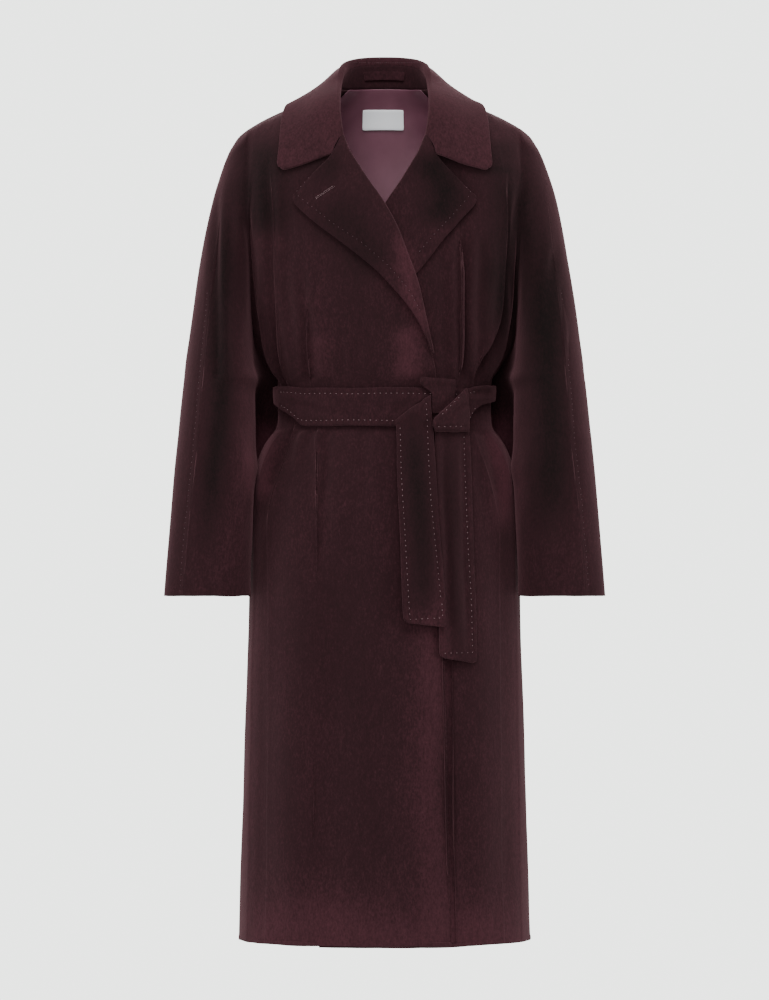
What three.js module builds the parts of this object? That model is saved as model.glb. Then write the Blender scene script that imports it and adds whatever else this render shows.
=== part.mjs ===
// A long double-breasted wrap coat in brushed wool, closed by a tied belt and filled out as if worn.
// Millimetres, +Z up, the front faces -Y. The wearer's right is -X, and the right front lies on top.
// The origin is on the centre plane at the height where the shoulders carry the coat.
//
// Every panel is a wall of cloth. Its outer surface is a grid of points worked out from the sections
// of the body and of the sleeve, and its inner surface is the same grid moved in by the thickness.
// The sleeves are cut in one with the fronts and backs, and joined by a seam over the arm and one under it.
import * as THREE from 'three';

// Cloth and seams
const CLOTH = 2.6; // brushed wool, one layer
const FOLDED_CLOTH = 4.4; // lapel, collar and belt: two layers
const STAND_CLOTH = 3.2;
const LINING_CLOTH = 0.8;
const SEAM_GAP = 0.3;
const LIE_GAP = 1.2; // between a piece and the panel that it lies on
const COLOURS = { wool: 0x36191f, lining: 0x5e3342, label: 0xd9dce4 };

// Main heights
const NECK_Z = 15; // neck point on the shoulder seam
const BACK_NECK_Z = 20;
const HEM_Z = -1169;
const UNDER_HEM_DROP = 4; // the left front hangs this much lower
const CUFF_Z = -693;
const NECK_HALF = 72;
const CAP_X = 190; // where the sleeve's cap starts on the shoulder seam
const CAP_END_X = 214;
const SECTION_POWER = 2.3; // superellipse exponent of the body's section

// A table with named columns: at(name, key) reads a column by a smooth, monotone curve through its rows.
function table(names, rows) {
  const columns = names.split(' ');
  const keys = rows.map((row) => row[0]);
  const down = keys[0] > keys[keys.length - 1];
  const data = down ? [...rows].reverse() : rows;
  const k = data.map((row) => row[0]);
  const slopes = columns.map((_, c) => {
    const secant = k.slice(1).map((_, i) => (data[i + 1][c] - data[i][c]) / (k[i + 1] - k[i]));
    return k.map((_, i) => {
      if (i === 0 || i === k.length - 1) return secant[Math.min(i, secant.length - 1)];
      const [a, b] = [secant[i - 1], secant[i]];
      return a * b <= 0 ? 0 : (2 * a * b) / (a + b);
    });
  });
  return {
    at(name, key) {
      const c = columns.indexOf(name);
      const last = k.length - 1;
      if (key <= k[0]) return data[0][c];
      if (key >= k[last]) return data[last][c];
      const i = k.findIndex((value) => value > key) - 1;
      const span = k[i + 1] - k[i];
      const t = (key - k[i]) / span;
      const [p, q] = [data[i][c], data[i + 1][c]];
      const [m, n] = [slopes[c][i] * span, slopes[c][i + 1] * span];
      const [t2, t3] = [t * t, t * t * t];
      return (2 * t3 - 3 * t2 + 1) * p + (t3 - 2 * t2 + t) * m + (3 * t2 - 2 * t3) * q + (t3 - t2) * n;
    },
  };
}

// Body section: half width, depth of the front and of the back, by height.
const BODY = table('z width front back', [
  [20, 215, 88, 96],
  [-20, 215, 96, 103],
  [-60, 215, 104, 109],
  [-100, 214, 111, 114],
  [-140, 211, 118, 117],
  [-185, 205, 124, 118],
  [-218, 200, 126, 117],
  [-250, 195, 126, 115],
  [-280, 190, 125, 112],
  [-310, 184, 122, 109],
  [-338, 179, 119, 107],
  [-362, 172, 115, 104],
  [-385, 162, 109, 99],
  [-401, 150.5, 104, 94],
  [-430, 149.5, 102.5, 92],
  [-458, 151, 104.5, 95],
  [-474, 163, 109, 101],
  [-500, 175.6, 117, 112],
  [-540, 185.2, 126, 124],
  [-590, 187.3, 132, 131],
  [-650, 188.5, 136, 135],
  [-730, 190, 140, 138],
  [-830, 193.5, 144, 141],
  [-940, 197, 147, 144],
  [-1055, 200.5, 150, 147],
  [-1169, 204, 153, 150],
]);

// Shoulder seam, from the neck point outward.
const RIDGE = table('x z y', [
  [72, 15, 6],
  [100, 3, 6],
  [125, -8, 5],
  [139, -14, 5],
  [155, -21, 4],
  [170, -28, 4],
  [190, -40, 3],
  [204, -52, 2],
  [214, -68, 0],
]);

// Sleeve section, by height: its middle, outer and inner side, its middle and half depth, how far the
// slack cloth behind the arm sags toward the body and at which angle, and the angles of its joins with
// the front and the back and of the overarm seam. 0 is the front, 90 the outer side and 180 the back.
const SLEEVE = table('z mid out in y half sag turn joinFront joinBack seam', [
  [-40, 190, 192, 150, 3, 4, 0, 230, 0, 180, 90],
  [-47, 190, 200, 150, 2, 21, 0, 230, 0, 180, 88],
  [-62, 190, 211, 150, 1, 34, 0, 230, 0, 180, 82],
  [-83, 190, 221, 150, 1, 47, 0, 230, 0, 180, 72],
  [-109, 191, 230.5, 152, 0, 57, 0, 230, 0, 182, 58],
  [-134, 195, 238.5, 158, -1, 61.5, 0, 230, -6, 186, 47],
  [-161, 200, 245, 165, -2, 64.5, 0, 230, -16, 191, 40],
  [-190, 207, 251, 172, -3, 67, 2, 230, -30, 197, 34],
  [-218, 213, 256, 177, -4, 69, 5, 230, -43, 204, 30],
  [-250, 218, 261.5, 180, -6, 71, 9, 230, -56, 211, 28],
  [-280, 222, 266, 182, -8, 73, 14, 230, -68, 218, 26],
  [-310, 225, 270, 183, -11, 74.5, 19, 231, -81, 224, 25],
  [-338, 227, 273.5, 183, -14, 75.5, 25, 230, -98, 227, 25],
  [-362, 229, 277, 182, -17, 76, 31, 228, -116, 227, 25],
  [-385, 230.5, 279.5, 181, -20, 76, 39.5, 225, -135, 225, 25],
  [-415, 232, 282.5, 180, -27, 75, 57, 210, -150, 210, 26],
  [-450, 233, 286, 179.5, -33, 73, 64.5, 201, -159, 201, 26],
  [-490, 235, 289.5, 178.8, -41, 70, 43.5, 203, -157, 203, 27],
  [-535, 238.5, 294, 180, -46, 66, 20, 209, -151, 209, 28],
  [-585, 241.5, 298.5, 183, -49, 60, 3, 235, -125, 235, 29],
  [-640, 244.5, 302.5, 185, -52, 54, 0, 255, -105, 255, 31],
  [-693, 246.5, 306.5, 186, -54, 48, 0, 270, -90, 270, 32],
]);
const SAG_SPREAD = { front: 19, back: 34 };

// How far behind the widest part of the section the side seam runs, in degrees, by height.
const SIDE_SEAM = table('z turn', [
  [-385, 20],
  [-401, 18],
  [-430, 12],
  [-458, 7],
  [-500, 3],
  [-540, 1.5],
  [-590, 0.6],
  [-650, 0],
]);

// Front edge and, above the break, roll line of a front: how far it reaches past the centre, by height.
const FRONT_EDGE = table('z reach', [
  [15, -72],
  [5, -72.5],
  [-15, -71.5],
  [-31, -69],
  [-45, -66.5],
  [-59, -62.5],
  [-80, -51.5],
  [-115, -29.5],
  [-151, -5.3],
  [-185, 13.2],
  [-218, 25.7],
  [-250, 38.2],
  [-280, 46.3],
  [-310, 53],
  [-345, 62.5],
  [-385, 70],
  [-430, 74],
  [-590, 79],
  [-774, 81.5],
  [-974, 86],
  [-1169, 90],
]);

// Rows of the body grid: height at the neck point, and how much of the shoulder's slope the row follows.
const ROWS = [
  { z: 15, slope: 1 },
  { z: 5, slope: 0.95 },
  { z: -15, slope: 0.85 },
  { z: -45, slope: 0.7 },
  { z: -80, slope: 0.52 },
  { z: -115, slope: 0.35 },
  { z: -150, slope: 0.2 },
  { z: -185, slope: 0.1 },
  ...[-218, -250, -280, -310, -338, -362, -385, -401, -430, -458, -474, -500].map((z) => ({ z, slope: 0 })),
  ...[-540, -590, -650, -730, -830, -940, -1055, HEM_Z].map((z) => ({ z, slope: 0 })),
];
const UNDERARM_ROW = 14;
const SLEEVE_ROWS = [-415, -450, -490, -535, -585, -640, CUFF_Z]; // below the underarm
const SLEEVE_FRONT_COLUMNS = 7;
const SLEEVE_BACK_COLUMNS = 8;
const SHOULDER_POINTS = [72, 96, 120, 144, 168, CAP_X]; // shared by the front and the back
const NECK_COLUMNS = 3;
const BACK_COLUMNS = NECK_COLUMNS + SHOULDER_POINTS.length - 1;
const EDGE_COLUMNS = 5; // between the front edge and the first fold

// Long folds of each front, by height: distance from the centre, height of a rounded ridge there, and
// depth of the step on its outer side.
const NO_FOLD = [0, 0];
const fold = (rows) => table('z x ridge step', rows);
const FOLDS = {
  right: [
    fold([
      [15, 100, ...NO_FOLD],
      [-200, 106, ...NO_FOLD],
      [-290, 108, 0, 0],
      [-345, 106, 3, 4],
      [-392, 103, 3, 5],
      [-401, 102, ...NO_FOLD],
      [-458, 92, ...NO_FOLD],
      [-476, 92, 4, 0],
      [-560, 93, 3, 0],
      [-700, 94, ...NO_FOLD],
      [-1169, 100, ...NO_FOLD],
    ]),
    fold([
      [15, 150, ...NO_FOLD],
      [-105, 159, 0, 0],
      [-150, 154, 3, 2],
      [-218, 150, 5, 4],
      [-310, 147, 5, 5],
      [-362, 143, 5, 6],
      [-392, 138, 3, 4],
      [-401, 132, ...NO_FOLD],
      [-458, 125, ...NO_FOLD],
      [-474, 129, 3, 4],
      [-519, 143, 3, 5],
      [-560, 158, 2, 3],
      [-590, 163, ...NO_FOLD],
      [-1169, 166, ...NO_FOLD],
    ]),
    fold([
      [15, 172, ...NO_FOLD],
      [-150, 183, 0, 0],
      [-194, 184, 2, 2],
      [-250, 181, 3, 8],
      [-311, 173, 4, 15],
      [-353, 166, 4, 20],
      [-378, 157, 4, 20],
      [-392, 148, 2, 6],
      [-401, 143, ...NO_FOLD],
      [-458, 142, ...NO_FOLD],
      [-520, 170, ...NO_FOLD],
      [-590, 178, ...NO_FOLD],
      [-1169, 190, ...NO_FOLD],
    ]),
  ],
  left: [
    fold([
      [15, 96, ...NO_FOLD],
      [-190, 108, 0, 0],
      [-240, 110, 4, 4],
      [-340, 110, 5, 5],
      [-390, 106, 3, 3],
      [-401, 100, ...NO_FOLD],
      [-458, 92, ...NO_FOLD],
      [-700, 94, ...NO_FOLD],
      [-1169, 100, ...NO_FOLD],
    ]),
    fold([
      [15, 142, ...NO_FOLD],
      [-107, 166, 0, 0],
      [-163, 168, 4, 4],
      [-256, 164, 5, 8],
      [-318, 156, 6, 12],
      [-345, 144, 6, 13],
      [-375, 130, 5, 11],
      [-392, 124, 2, 4],
      [-401, 124, ...NO_FOLD],
      [-458, 124, ...NO_FOLD],
      [-519, 140, 2, 0],
      [-590, 160, ...NO_FOLD],
      [-1169, 166, ...NO_FOLD],
    ]),
    fold([
      [15, 172, ...NO_FOLD],
      [-163, 182, ...NO_FOLD],
      [-256, 181, 0, 5],
      [-318, 175, 0, 9],
      [-362, 165, 0, 11],
      [-392, 148, 0, 4],
      [-401, 142, ...NO_FOLD],
      [-458, 142, ...NO_FOLD],
      [-520, 170, ...NO_FOLD],
      [-590, 178, ...NO_FOLD],
      [-1169, 190, ...NO_FOLD],
    ]),
  ],
};
const FOLD_HALF = 5; // half the width of a fold's ridge

// Gathers of the back above and below the belt, by height.
const BACK_GATHER = table('z depth', [
  [-120, 0],
  [-230, 3],
  [-340, 6],
  [-385, 5],
  [-401, 0],
  [-458, 0],
  [-474, 4],
  [-560, 5],
  [-800, 2],
  [-1169, 4],
]);

const rad = THREE.MathUtils.degToRad;
const lerp = THREE.MathUtils.lerp;
const smooth = (low, high, value) => {
  const t = Math.min(1, Math.max(0, (value - low) / (high - low)));
  return t * t * (3 - 2 * t);
};
const vec = (x, y, z) => new THREE.Vector3(x, y, z);
const power = (value, p) => Math.sign(value) * Math.abs(value) ** p;

// How far the left front lies behind the right one: more where its lapel lies between them. It comes up
// to the common surface outside the overlap, between two distances from the centre.
const UNDER = { depth: 3.9, lapelDepth: 11.8, topZ: -50, fullZ: -135, beltZ: -400, lapelZ: -365 };
const UNDER_END = { skirt: [96, 140], chest: [84, 150] };
function underDepth(reach, z) {
  const chest = smooth(UNDER.beltZ, UNDER.lapelZ, z);
  const depth = lerp(UNDER.depth, UNDER.lapelDepth, chest);
  const [from, to] = [0, 1].map((i) => lerp(UNDER_END.skirt[i], UNDER_END.chest[i], chest));
  return depth * smooth(UNDER.topZ, UNDER.fullZ, z) * (1 - smooth(from, to, reach));
}

// Shoulder slope seen from above: how far the surface has swung out, this far below the shoulder seam.
const DOME = { front: 104, back: 96 };
const swing = (below, height) => {
  const t = 1 - Math.min(1, Math.max(0, below / height));
  return Math.sqrt(1 - t * t);
};

const ridgeZ = (reach, back) => {
  if (Math.abs(reach) >= NECK_HALF) return RIDGE.at('z', Math.abs(reach));
  return back ? lerp(BACK_NECK_Z, NECK_Z, (reach / NECK_HALF) ** 2) : NECK_Z;
};
const BACK_NECK_DEPTH = 66;
const BACK_NECK_POWER = 2.2;
const ridgeY = (reach, back) => {
  const m = Math.abs(reach);
  if (m >= NECK_HALF || !back) return RIDGE.at('y', Math.max(m, NECK_HALF));
  const round = (1 - (m / NECK_HALF) ** BACK_NECK_POWER) ** (1 / BACK_NECK_POWER);
  return RIDGE.at('y', NECK_HALF) + BACK_NECK_DEPTH * round;
};
const rowZ = (row, reach, back) => row.z + row.slope * (ridgeZ(reach, back) - NECK_Z);

// Angle on the body's section of a point this far from the centre; 0 is the centre and 90 degrees the side.
const sectionAngle = (reach, z) => {
  const share = Math.min(1, Math.abs(reach) / BODY.at('width', z));
  return Math.sign(reach) * Math.asin(share ** (SECTION_POWER / 2));
};

// A point of the body's outer surface. side is -1 for the wearer's right and 1 for the left, angle is
// measured from the centre, and lift moves the point out along the section's normal.
function bodyPoint(side, angle, z, back = false, lift = 0) {
  const width = BODY.at('width', z);
  const depth = BODY.at(back ? 'back' : 'front', z);
  const e = 2 / SECTION_POWER;
  const reach = width * power(Math.sin(angle), e);
  const facing = back ? 1 : -1;
  const full = facing * depth * power(Math.cos(angle), e);
  const start = ridgeY(reach, back);
  const out = swing(ridgeZ(reach, back) - z, back ? DOME.back : DOME.front);
  const point = vec(side * reach, start + (full - start) * out, z);
  return lift === 0 ? point : point.addScaledVector(bodyNormal(side, angle, z, back), lift);
}

const NUDGE = 0.01; // in radians along the section
const DROP = 1; // millimetres down
const FAR_DOWN = 200; // a point inside the body, this far below
function bodyNormal(side, angle, z, back) {
  const round = bodyPoint(side, angle + NUDGE, z, back).sub(bodyPoint(side, angle - NUDGE, z, back));
  const down = bodyPoint(side, angle, z - DROP, back).sub(bodyPoint(side, angle, z + DROP / 2, back));
  const normal = round.cross(down).normalize();
  const outward = bodyPoint(side, angle, z, back).sub(vec(0, 0, z - FAR_DOWN));
  return normal.dot(outward) < 0 ? normal.negate() : normal;
}

// The outer surface of a front where something lies on it, without the long folds.
function frontSurface(side, reach, z, lift = 0) {
  const under = side > 0 ? underDepth(reach, z) : 0;
  return bodyPoint(side, sectionAngle(reach, z), z, false, lift - under);
}

// A point of the sleeve's outer surface.
function sleevePoint(side, degrees, z) {
  const [mid, out, inner, y, half] = ['mid', 'out', 'in', 'y', 'half'].map((name) => SLEEVE.at(name, z));
  const s = Math.sin(rad(degrees));
  const turn = ((((degrees - SLEEVE.at('turn', z)) % 360) + 540) % 360) - 180;
  const spread = turn > 0 ? SAG_SPREAD.front : SAG_SPREAD.back;
  const slack = SLEEVE.at('sag', z) * Math.exp(-((turn / spread) ** 2));
  const reach = mid + (s > 0 ? (out - mid) * s : (mid - inner) * s) - slack;
  return vec(side * reach, y - half * Math.cos(rad(degrees)), z);
}

// How much lower the overarm seam lies than the join with the body, in each row of the cap.
const SEAM_DROPS = [28, 31, 30, 28, 25, 21, 16, 9, 4, 1];
const CAP_ROWS = 4; // rows whose join lies at the cap's start
const joinZ = (r) => rowZ(ROWS[r], r < CAP_ROWS ? CAP_X : SLEEVE.at('mid', ROWS[r].z), false);
const seamZ = (r) => joinZ(r) - (SEAM_DROPS[r] ?? 0);
const sleeveJoin = (side, r, back) => {
  if (r === 0) return vec(side * CAP_X, RIDGE.at('y', CAP_X), RIDGE.at('z', CAP_X));
  const z = joinZ(r);
  return sleevePoint(side, SLEEVE.at(back ? 'joinBack' : 'joinFront', z), z);
};

// One row of a sleeve half, from the join with the body to the overarm seam or the other way round.
function sleeveRow(side, r, back) {
  const columns = back ? SLEEVE_BACK_COLUMNS : SLEEVE_FRONT_COLUMNS;
  const points = [];
  for (let c = 0; c <= columns; c++) {
    if (r === 0) {
      const share = back ? Math.max(0, 1 - c / SLEEVE_FRONT_COLUMNS) : c / SLEEVE_FRONT_COLUMNS;
      const reach = lerp(CAP_X, CAP_END_X, share);
      points.push(vec(side * reach, RIDGE.at('y', reach), RIDGE.at('z', reach)));
      continue;
    }
    const low = r > UNDERARM_ROW;
    const join = low ? SLEEVE_ROWS[r - UNDERARM_ROW - 1] : joinZ(r);
    const seam = low ? join : seamZ(r);
    const share = c / columns;
    const z = back ? lerp(seam, join, share) : lerp(join, seam, share);
    const joinAngle = SLEEVE.at(back ? 'joinBack' : 'joinFront', join);
    const seamAngle = SLEEVE.at('seam', seam);
    const angle = back ? lerp(seamAngle, joinAngle, share) : lerp(joinAngle, seamAngle, share);
    points.push(sleevePoint(side, angle, z));
  }
  return points;
}

// One row of a front, from its edge to the join with the sleeve, or below the arm to the side seam.
const HEM_RISE = [60, 150]; // where the left front's longer hem comes up to the side seam
const STEP_AT = 0.7; // share of FOLD_HALF from a fold's ridge to the foot of its step
const STEP_REST = 1 / 3; // how much of the step is left halfway to the next fold
const SIDE_SHARE = 0.55;
function frontRow(side, r) {
  const row = ROWS[r];
  const folds = side < 0 ? FOLDS.right : FOLDS.left;
  const edge = -FRONT_EDGE.at('reach', row.z);
  const hemDrop = side > 0 && r === ROWS.length - 1 ? UNDER_HEM_DROP : 0;
  const at = (reach, lift) => {
    const z = rowZ(row, reach, false) - hemDrop * (1 - smooth(HEM_RISE[0], HEM_RISE[1], reach));
    return frontSurface(side, reach, z, lift);
  };
  const folded = folds.map((f) => {
    const z = rowZ(row, f.at('x', row.z), false);
    return { x: f.at('x', z), ridge: f.at('ridge', z), step: f.at('step', z) };
  });
  if (r === 0) return frontShoulder(side, folded);
  const points = [];
  const first = folded[0].x - FOLD_HALF;
  for (let c = 0; c < EDGE_COLUMNS; c++) points.push(at(lerp(edge, first, c / EDGE_COLUMNS), 0));
  folded.forEach((f, i) => {
    points.push(at(f.x - FOLD_HALF, 0), at(f.x, f.ridge), at(f.x + FOLD_HALF * STEP_AT, -f.step));
    const next = folded[i + 1];
    if (next) points.push(at((f.x + next.x) / 2, -f.step * STEP_REST));
  });
  const last = points[points.length - 1];
  if (r <= UNDERARM_ROW) {
    const join = sleeveJoin(side, r, false);
    points.push(last.clone().lerp(join, 0.5), join);
  } else {
    const from = sectionAngle(folded[2].x + FOLD_HALF, row.z);
    points.push(bodyPoint(side, lerp(from, Math.PI / 2, SIDE_SHARE), row.z), sideSeam(side, row.z));
  }
  return points;
}

const sideSeam = (side, z) => bodyPoint(side, rad(90 - SIDE_SEAM.at('turn', z)), z, true);
const shoulderPoint = (side, reach) => vec(side * reach, RIDGE.at('y', reach), RIDGE.at('z', reach));

// The front's columns run together at the points of the shoulder seam.
function frontShoulder(side, folded) {
  const first = folded[0].x - FOLD_HALF;
  const reaches = [];
  for (let c = 0; c < EDGE_COLUMNS; c++) reaches.push(lerp(NECK_HALF, first, c / EDGE_COLUMNS));
  folded.forEach((f, i) => {
    reaches.push(f.x - FOLD_HALF, f.x, f.x + FOLD_HALF);
    if (folded[i + 1]) reaches.push((f.x + folded[i + 1].x) / 2);
  });
  reaches.push(CAP_X, CAP_X);
  const nearer = (reach) => (a, b) => (Math.abs(b - reach) < Math.abs(a - reach) ? b : a);
  return reaches.map((reach) => shoulderPoint(side, SHOULDER_POINTS.reduce(nearer(reach))));
}

// One row of a back, from the centre-back seam to the join with the sleeve or the side seam. The rest of
// the way to the join is made up in its outer part, where the gathers run out.
const FULL_WIDTH = 0.995;
const BACK_BLEND = 0.55;
const GATHER_END = 0.7;
function backRow(side, r) {
  const row = ROWS[r];
  const end = r <= UNDERARM_ROW ? sleeveJoin(side, r, true) : sideSeam(side, row.z);
  const reachEnd = Math.abs(end.x);
  const plain = (share) => {
    const wide = sectionAngle(Math.min(reachEnd, BODY.at('width', row.z) * FULL_WIDTH), row.z);
    const reach = BODY.at('width', row.z) * Math.sin(wide * share) ** (2 / SECTION_POWER);
    return bodyPoint(side, wide * share, rowZ(row, Math.min(reach, CAP_X), true), true);
  };
  if (r === 0) {
    const neck = [...Array(NECK_COLUMNS).keys()].map((c) => (NECK_HALF * c) / NECK_COLUMNS);
    const neckPoint = (reach) => vec(side * reach, ridgeY(reach, true), ridgeZ(reach, true));
    return [...neck.map(neckPoint), ...SHOULDER_POINTS.map((reach) => shoulderPoint(side, reach))];
  }
  const miss = end.clone().sub(plain(1));
  const points = [];
  for (let c = 0; c <= BACK_COLUMNS; c++) {
    const share = c / BACK_COLUMNS;
    const point = plain(share).addScaledVector(miss, smooth(BACK_BLEND, 1, share) * share);
    const gather = c > 0 && c < BACK_COLUMNS ? BACK_GATHER.at('depth', point.z) * Math.cos(c * Math.PI) : 0;
    point.y += gather * smooth(1, GATHER_END, share);
    points.push(c === BACK_COLUMNS ? end : point);
  }
  return points;
}

// Cloth: grids of points that share their seams. wall() gives a panel its thickness.
const ROUNDING = 200; // points this many to the millimetre are one
const SHARPEST = 0.4; // limit for the longer pull at a sharp corner
class Cloth {
  constructor() {
    this.points = [];
    this.depths = []; // thickness at a point, where it isn't the panel's own
    this.found = new Map();
    this.panels = new Map();
  }

  vertex(point) {
    const key = point.toArray().map((v) => Math.round(v * ROUNDING)).join();
    if (!this.found.has(key)) {
      this.found.set(key, this.points.push(point.clone()) - 1);
      this.depths.push(point.depth);
    }
    return this.found.get(key);
  }

  // rows is a grid of points, and inside(point) a point on the hollow side, so faces turn away from it.
  add(name, rows, inside) {
    const ids = rows.map((row) => row.map((point) => this.vertex(point)));
    const quads = [];
    let facing = 0;
    for (let r = 0; r + 1 < ids.length; r++) {
      for (let c = 0; c + 1 < ids[r].length; c++) {
        const quad = [ids[r][c], ids[r][c + 1], ids[r + 1][c + 1], ids[r + 1][c]];
        const [a, b, p, d] = quad.map((id) => this.points[id]);
        const normal = p.clone().sub(a).cross(d.clone().sub(b));
        facing += normal.dot(a.clone().add(p).multiplyScalar(0.5).sub(inside(a)));
        quads.push(quad);
      }
    }
    if (facing < 0) quads.forEach((quad) => quad.reverse());
    if (!this.panels.has(name)) this.panels.set(name, []);
    this.panels.get(name).push(...quads);
  }

  static triangles(quads) {
    const cut = ([a, b, c, d]) => [[a, b, c], [a, c, d]];
    return quads.flatMap(cut).filter(([a, b, c]) => a !== b && b !== c && a !== c);
  }

  normals() {
    const sums = this.points.map(() => vec(0, 0, 0));
    for (const quads of this.panels.values()) {
      for (const triangle of Cloth.triangles(quads)) {
        const [a, b, c] = triangle.map((id) => this.points[id]);
        const normal = b.clone().sub(a).cross(c.clone().sub(a));
        triangle.forEach((id) => sums[id].add(normal));
      }
    }
    return sums.map((sum) => sum.normalize());
  }

  // A closed wall of one panel: its edges stay half a seam gap back from the seam.
  wall(name, thickness) {
    const normals = this.normals();
    const faces = Cloth.triangles(this.panels.get(name));
    const used = new Map();
    for (const [a, b, c] of faces) {
      for (const edge of [[a, b, c], [b, c, a], [c, a, b]]) used.set(edge.slice(0, 2).join(), edge);
    }
    const rim = [...used.values()].filter(([a, b]) => !used.has([b, a].join()));
    const back = new Map();
    for (const [a, b, c] of rim) {
      const along = this.points[b].clone().sub(this.points[a]).normalize();
      const inward = this.points[c].clone().sub(this.points[a]);
      inward.addScaledVector(along, -inward.dot(along)).normalize();
      for (const id of [a, b]) back.set(id, [...(back.get(id) ?? []), inward]);
    }
    const ids = [...new Set(faces.flat())];
    const position = [];
    const slot = new Map(ids.map((id, i) => [id, i]));
    const shifted = ids.map((id) => {
      const point = this.points[id].clone();
      const pulls = back.get(id);
      if (!pulls) return point;
      const sum = pulls.reduce((total, pull) => total.add(pull), vec(0, 0, 0)).normalize();
      const slant = Math.max(SHARPEST, sum.dot(pulls[0]));
      return point.addScaledVector(sum, SEAM_GAP / 2 / slant);
    });
    shifted.forEach((point) => position.push(...point.toArray()));
    shifted.forEach((point, i) => {
      const depth = this.depths[ids[i]] ?? thickness;
      position.push(...point.clone().addScaledVector(normals[ids[i]], -depth).toArray());
    });
    const outer = (id) => slot.get(id);
    const inner = (id) => slot.get(id) + ids.length;
    const index = faces.flatMap(([a, b, c]) => [outer(a), outer(b), outer(c), inner(a), inner(c), inner(b)]);
    // Both panels of a seam cut its rim along the same diagonal.
    for (const [a, b] of rim) {
      if (b < a) index.push(outer(b), outer(a), inner(a), outer(b), inner(a), inner(b));
      else index.push(outer(b), outer(a), inner(b), outer(a), inner(a), inner(b));
    }
    const geometry = new THREE.BufferGeometry();
    geometry.setAttribute('position', new THREE.Float32BufferAttribute(position, 3));
    geometry.setIndex(index);
    geometry.computeVertexNormals();
    return geometry;
  }
}

const coat = new THREE.Group();
const WOOL_ROUGHNESS = 0.95;
const SATIN_ROUGHNESS = 0.5;
function addPiece(name, geometry, colour, roughness = WOOL_ROUGHNESS) {
  const material = new THREE.MeshStandardMaterial({ color: colour, roughness, metalness: 0 });
  const mesh = new THREE.Mesh(geometry, material);
  mesh.name = name;
  coat.add(mesh);
  return mesh;
}

const SIDES = [
  { side: -1, name: 'right' },
  { side: 1, name: 'left' },
];

// Fronts and backs, each cut in one with half a sleeve.
const SLEEVE_LOOK_DOWN = 30;
function addBody() {
  const cloth = new Cloth();
  const bodyAxis = (p) => vec(0, 0, p.z);
  const sleeveAxis = (side) => (p) => {
    return vec(side * SLEEVE.at('mid', p.z), SLEEVE.at('y', p.z), p.z - SLEEVE_LOOK_DOWN);
  };
  const rows = ROWS.map((_, r) => r);
  const sleeveRows = [...Array(UNDERARM_ROW + 1 + SLEEVE_ROWS.length).keys()];
  for (const { side, name } of SIDES) {
    cloth.add('front_' + name, rows.map((r) => frontRow(side, r)), bodyAxis);
    cloth.add('front_' + name, sleeveRows.map((r) => sleeveRow(side, r, false)), sleeveAxis(side));
    cloth.add('back_' + name, rows.map((r) => backRow(side, r)), bodyAxis);
    cloth.add('back_' + name, sleeveRows.map((r) => sleeveRow(side, r, true)), sleeveAxis(side));
  }
  for (const name of cloth.panels.keys()) addPiece(name, cloth.wall(name, CLOTH), COLOURS.wool);
}

const withDepth = (point, depth) => Object.assign(point, { depth });
const shares = (count) => [...Array(count + 1).keys()].map((i) => i / count);

// A piece of its own: one grid with a wall.
function addGrid(name, rows, inside, thickness, colour, roughness) {
  const cloth = new Cloth();
  cloth.add(name, rows, inside);
  return addPiece(name, cloth.wall(name, thickness), colour, roughness);
}

// The roll: the front's edge turns over with this radius, and flattens out at the break.
const GORGE_Z = -59;
const BREAK_Z = -357;
const ROLL_RADIUS = { full: 4.3, end: 2.6 };
const ROLL_FULL_Z = -312;
const rollRadius = (z) => lerp(ROLL_RADIUS.end, ROLL_RADIUS.full, smooth(BREAK_Z, ROLL_FULL_Z, z));
const ROLL_CLOTH = 2.4;
const ROLL_SOLID = 0.6; // most of the roll's radius that its cloth may fill
const ROLL_SHIFT = 1.1; // from the front's edge to the middle of the roll
const ROLL_TURNS = [-90, -45, 0, 45, 90]; // round the roll, from the inner side to the lapel

// The front's edge as built: straight between the rows of its grid.
function frontEdge(side, z) {
  const i = Math.max(1, ROWS.findIndex((row) => row.z <= z));
  const [high, low] = [ROWS[i - 1].z, ROWS[i].z];
  const at = (height) => frontSurface(side, -FRONT_EDGE.at('reach', height), height);
  return at(high).lerp(at(low), (high - z) / (high - low));
}
const LOOK_ALONG = 12;
function rollFrame(side, z) {
  const point = frontEdge(side, z);
  const along = frontEdge(side, z - LOOK_ALONG).sub(frontEdge(side, z + LOOK_ALONG)).normalize();
  const angle = sectionAngle(-FRONT_EDGE.at('reach', z), z);
  const normal = bodyNormal(side, angle, z, false);
  const across = normal.clone().cross(along).normalize();
  if (across.x * side > 0) across.negate();
  return { point, normal, across };
}

// Lapels, by height on the roll line: where the outer edge lies, as distance from the centre and height.
const LAPELS = {
  right: table('z reach low', [
    [-59, 131, -141],
    [-80, 114, -160],
    [-115, 85, -185],
    [-150, 58, -206],
    [-185, 33, -225],
    [-218, 10, -244],
    [-250, -10, -266],
    [-280, -28, -287],
    [-310, -44.5, -312],
    [-338, -58, -339],
    [-357, -65.5, -357],
  ]),
  left: table('z reach low', [
    [-59, 131, -142],
    [-80, 116, -161],
    [-115, 94, -187],
    [-150, 75, -210],
    [-185, 58, -232],
    [-218, 36, -256],
    [-250, 12, -281],
    [-280, -12, -303],
    [-310, -34, -322],
    [-338, -54, -343],
    [-357, -65.5, -357],
  ]),
};
const NOTCH = { reach: 71, z: -83 };
const LAPEL_ROWS = [-59, -69, -80, -97, -115, -132, -150, -185, -218, -250, -280, -310, -338, BREAK_Z];
const LAPEL_COLUMNS = 6;
const LAPEL_BULGE = 1;
const TIP_ROUND = 3.5;
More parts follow.
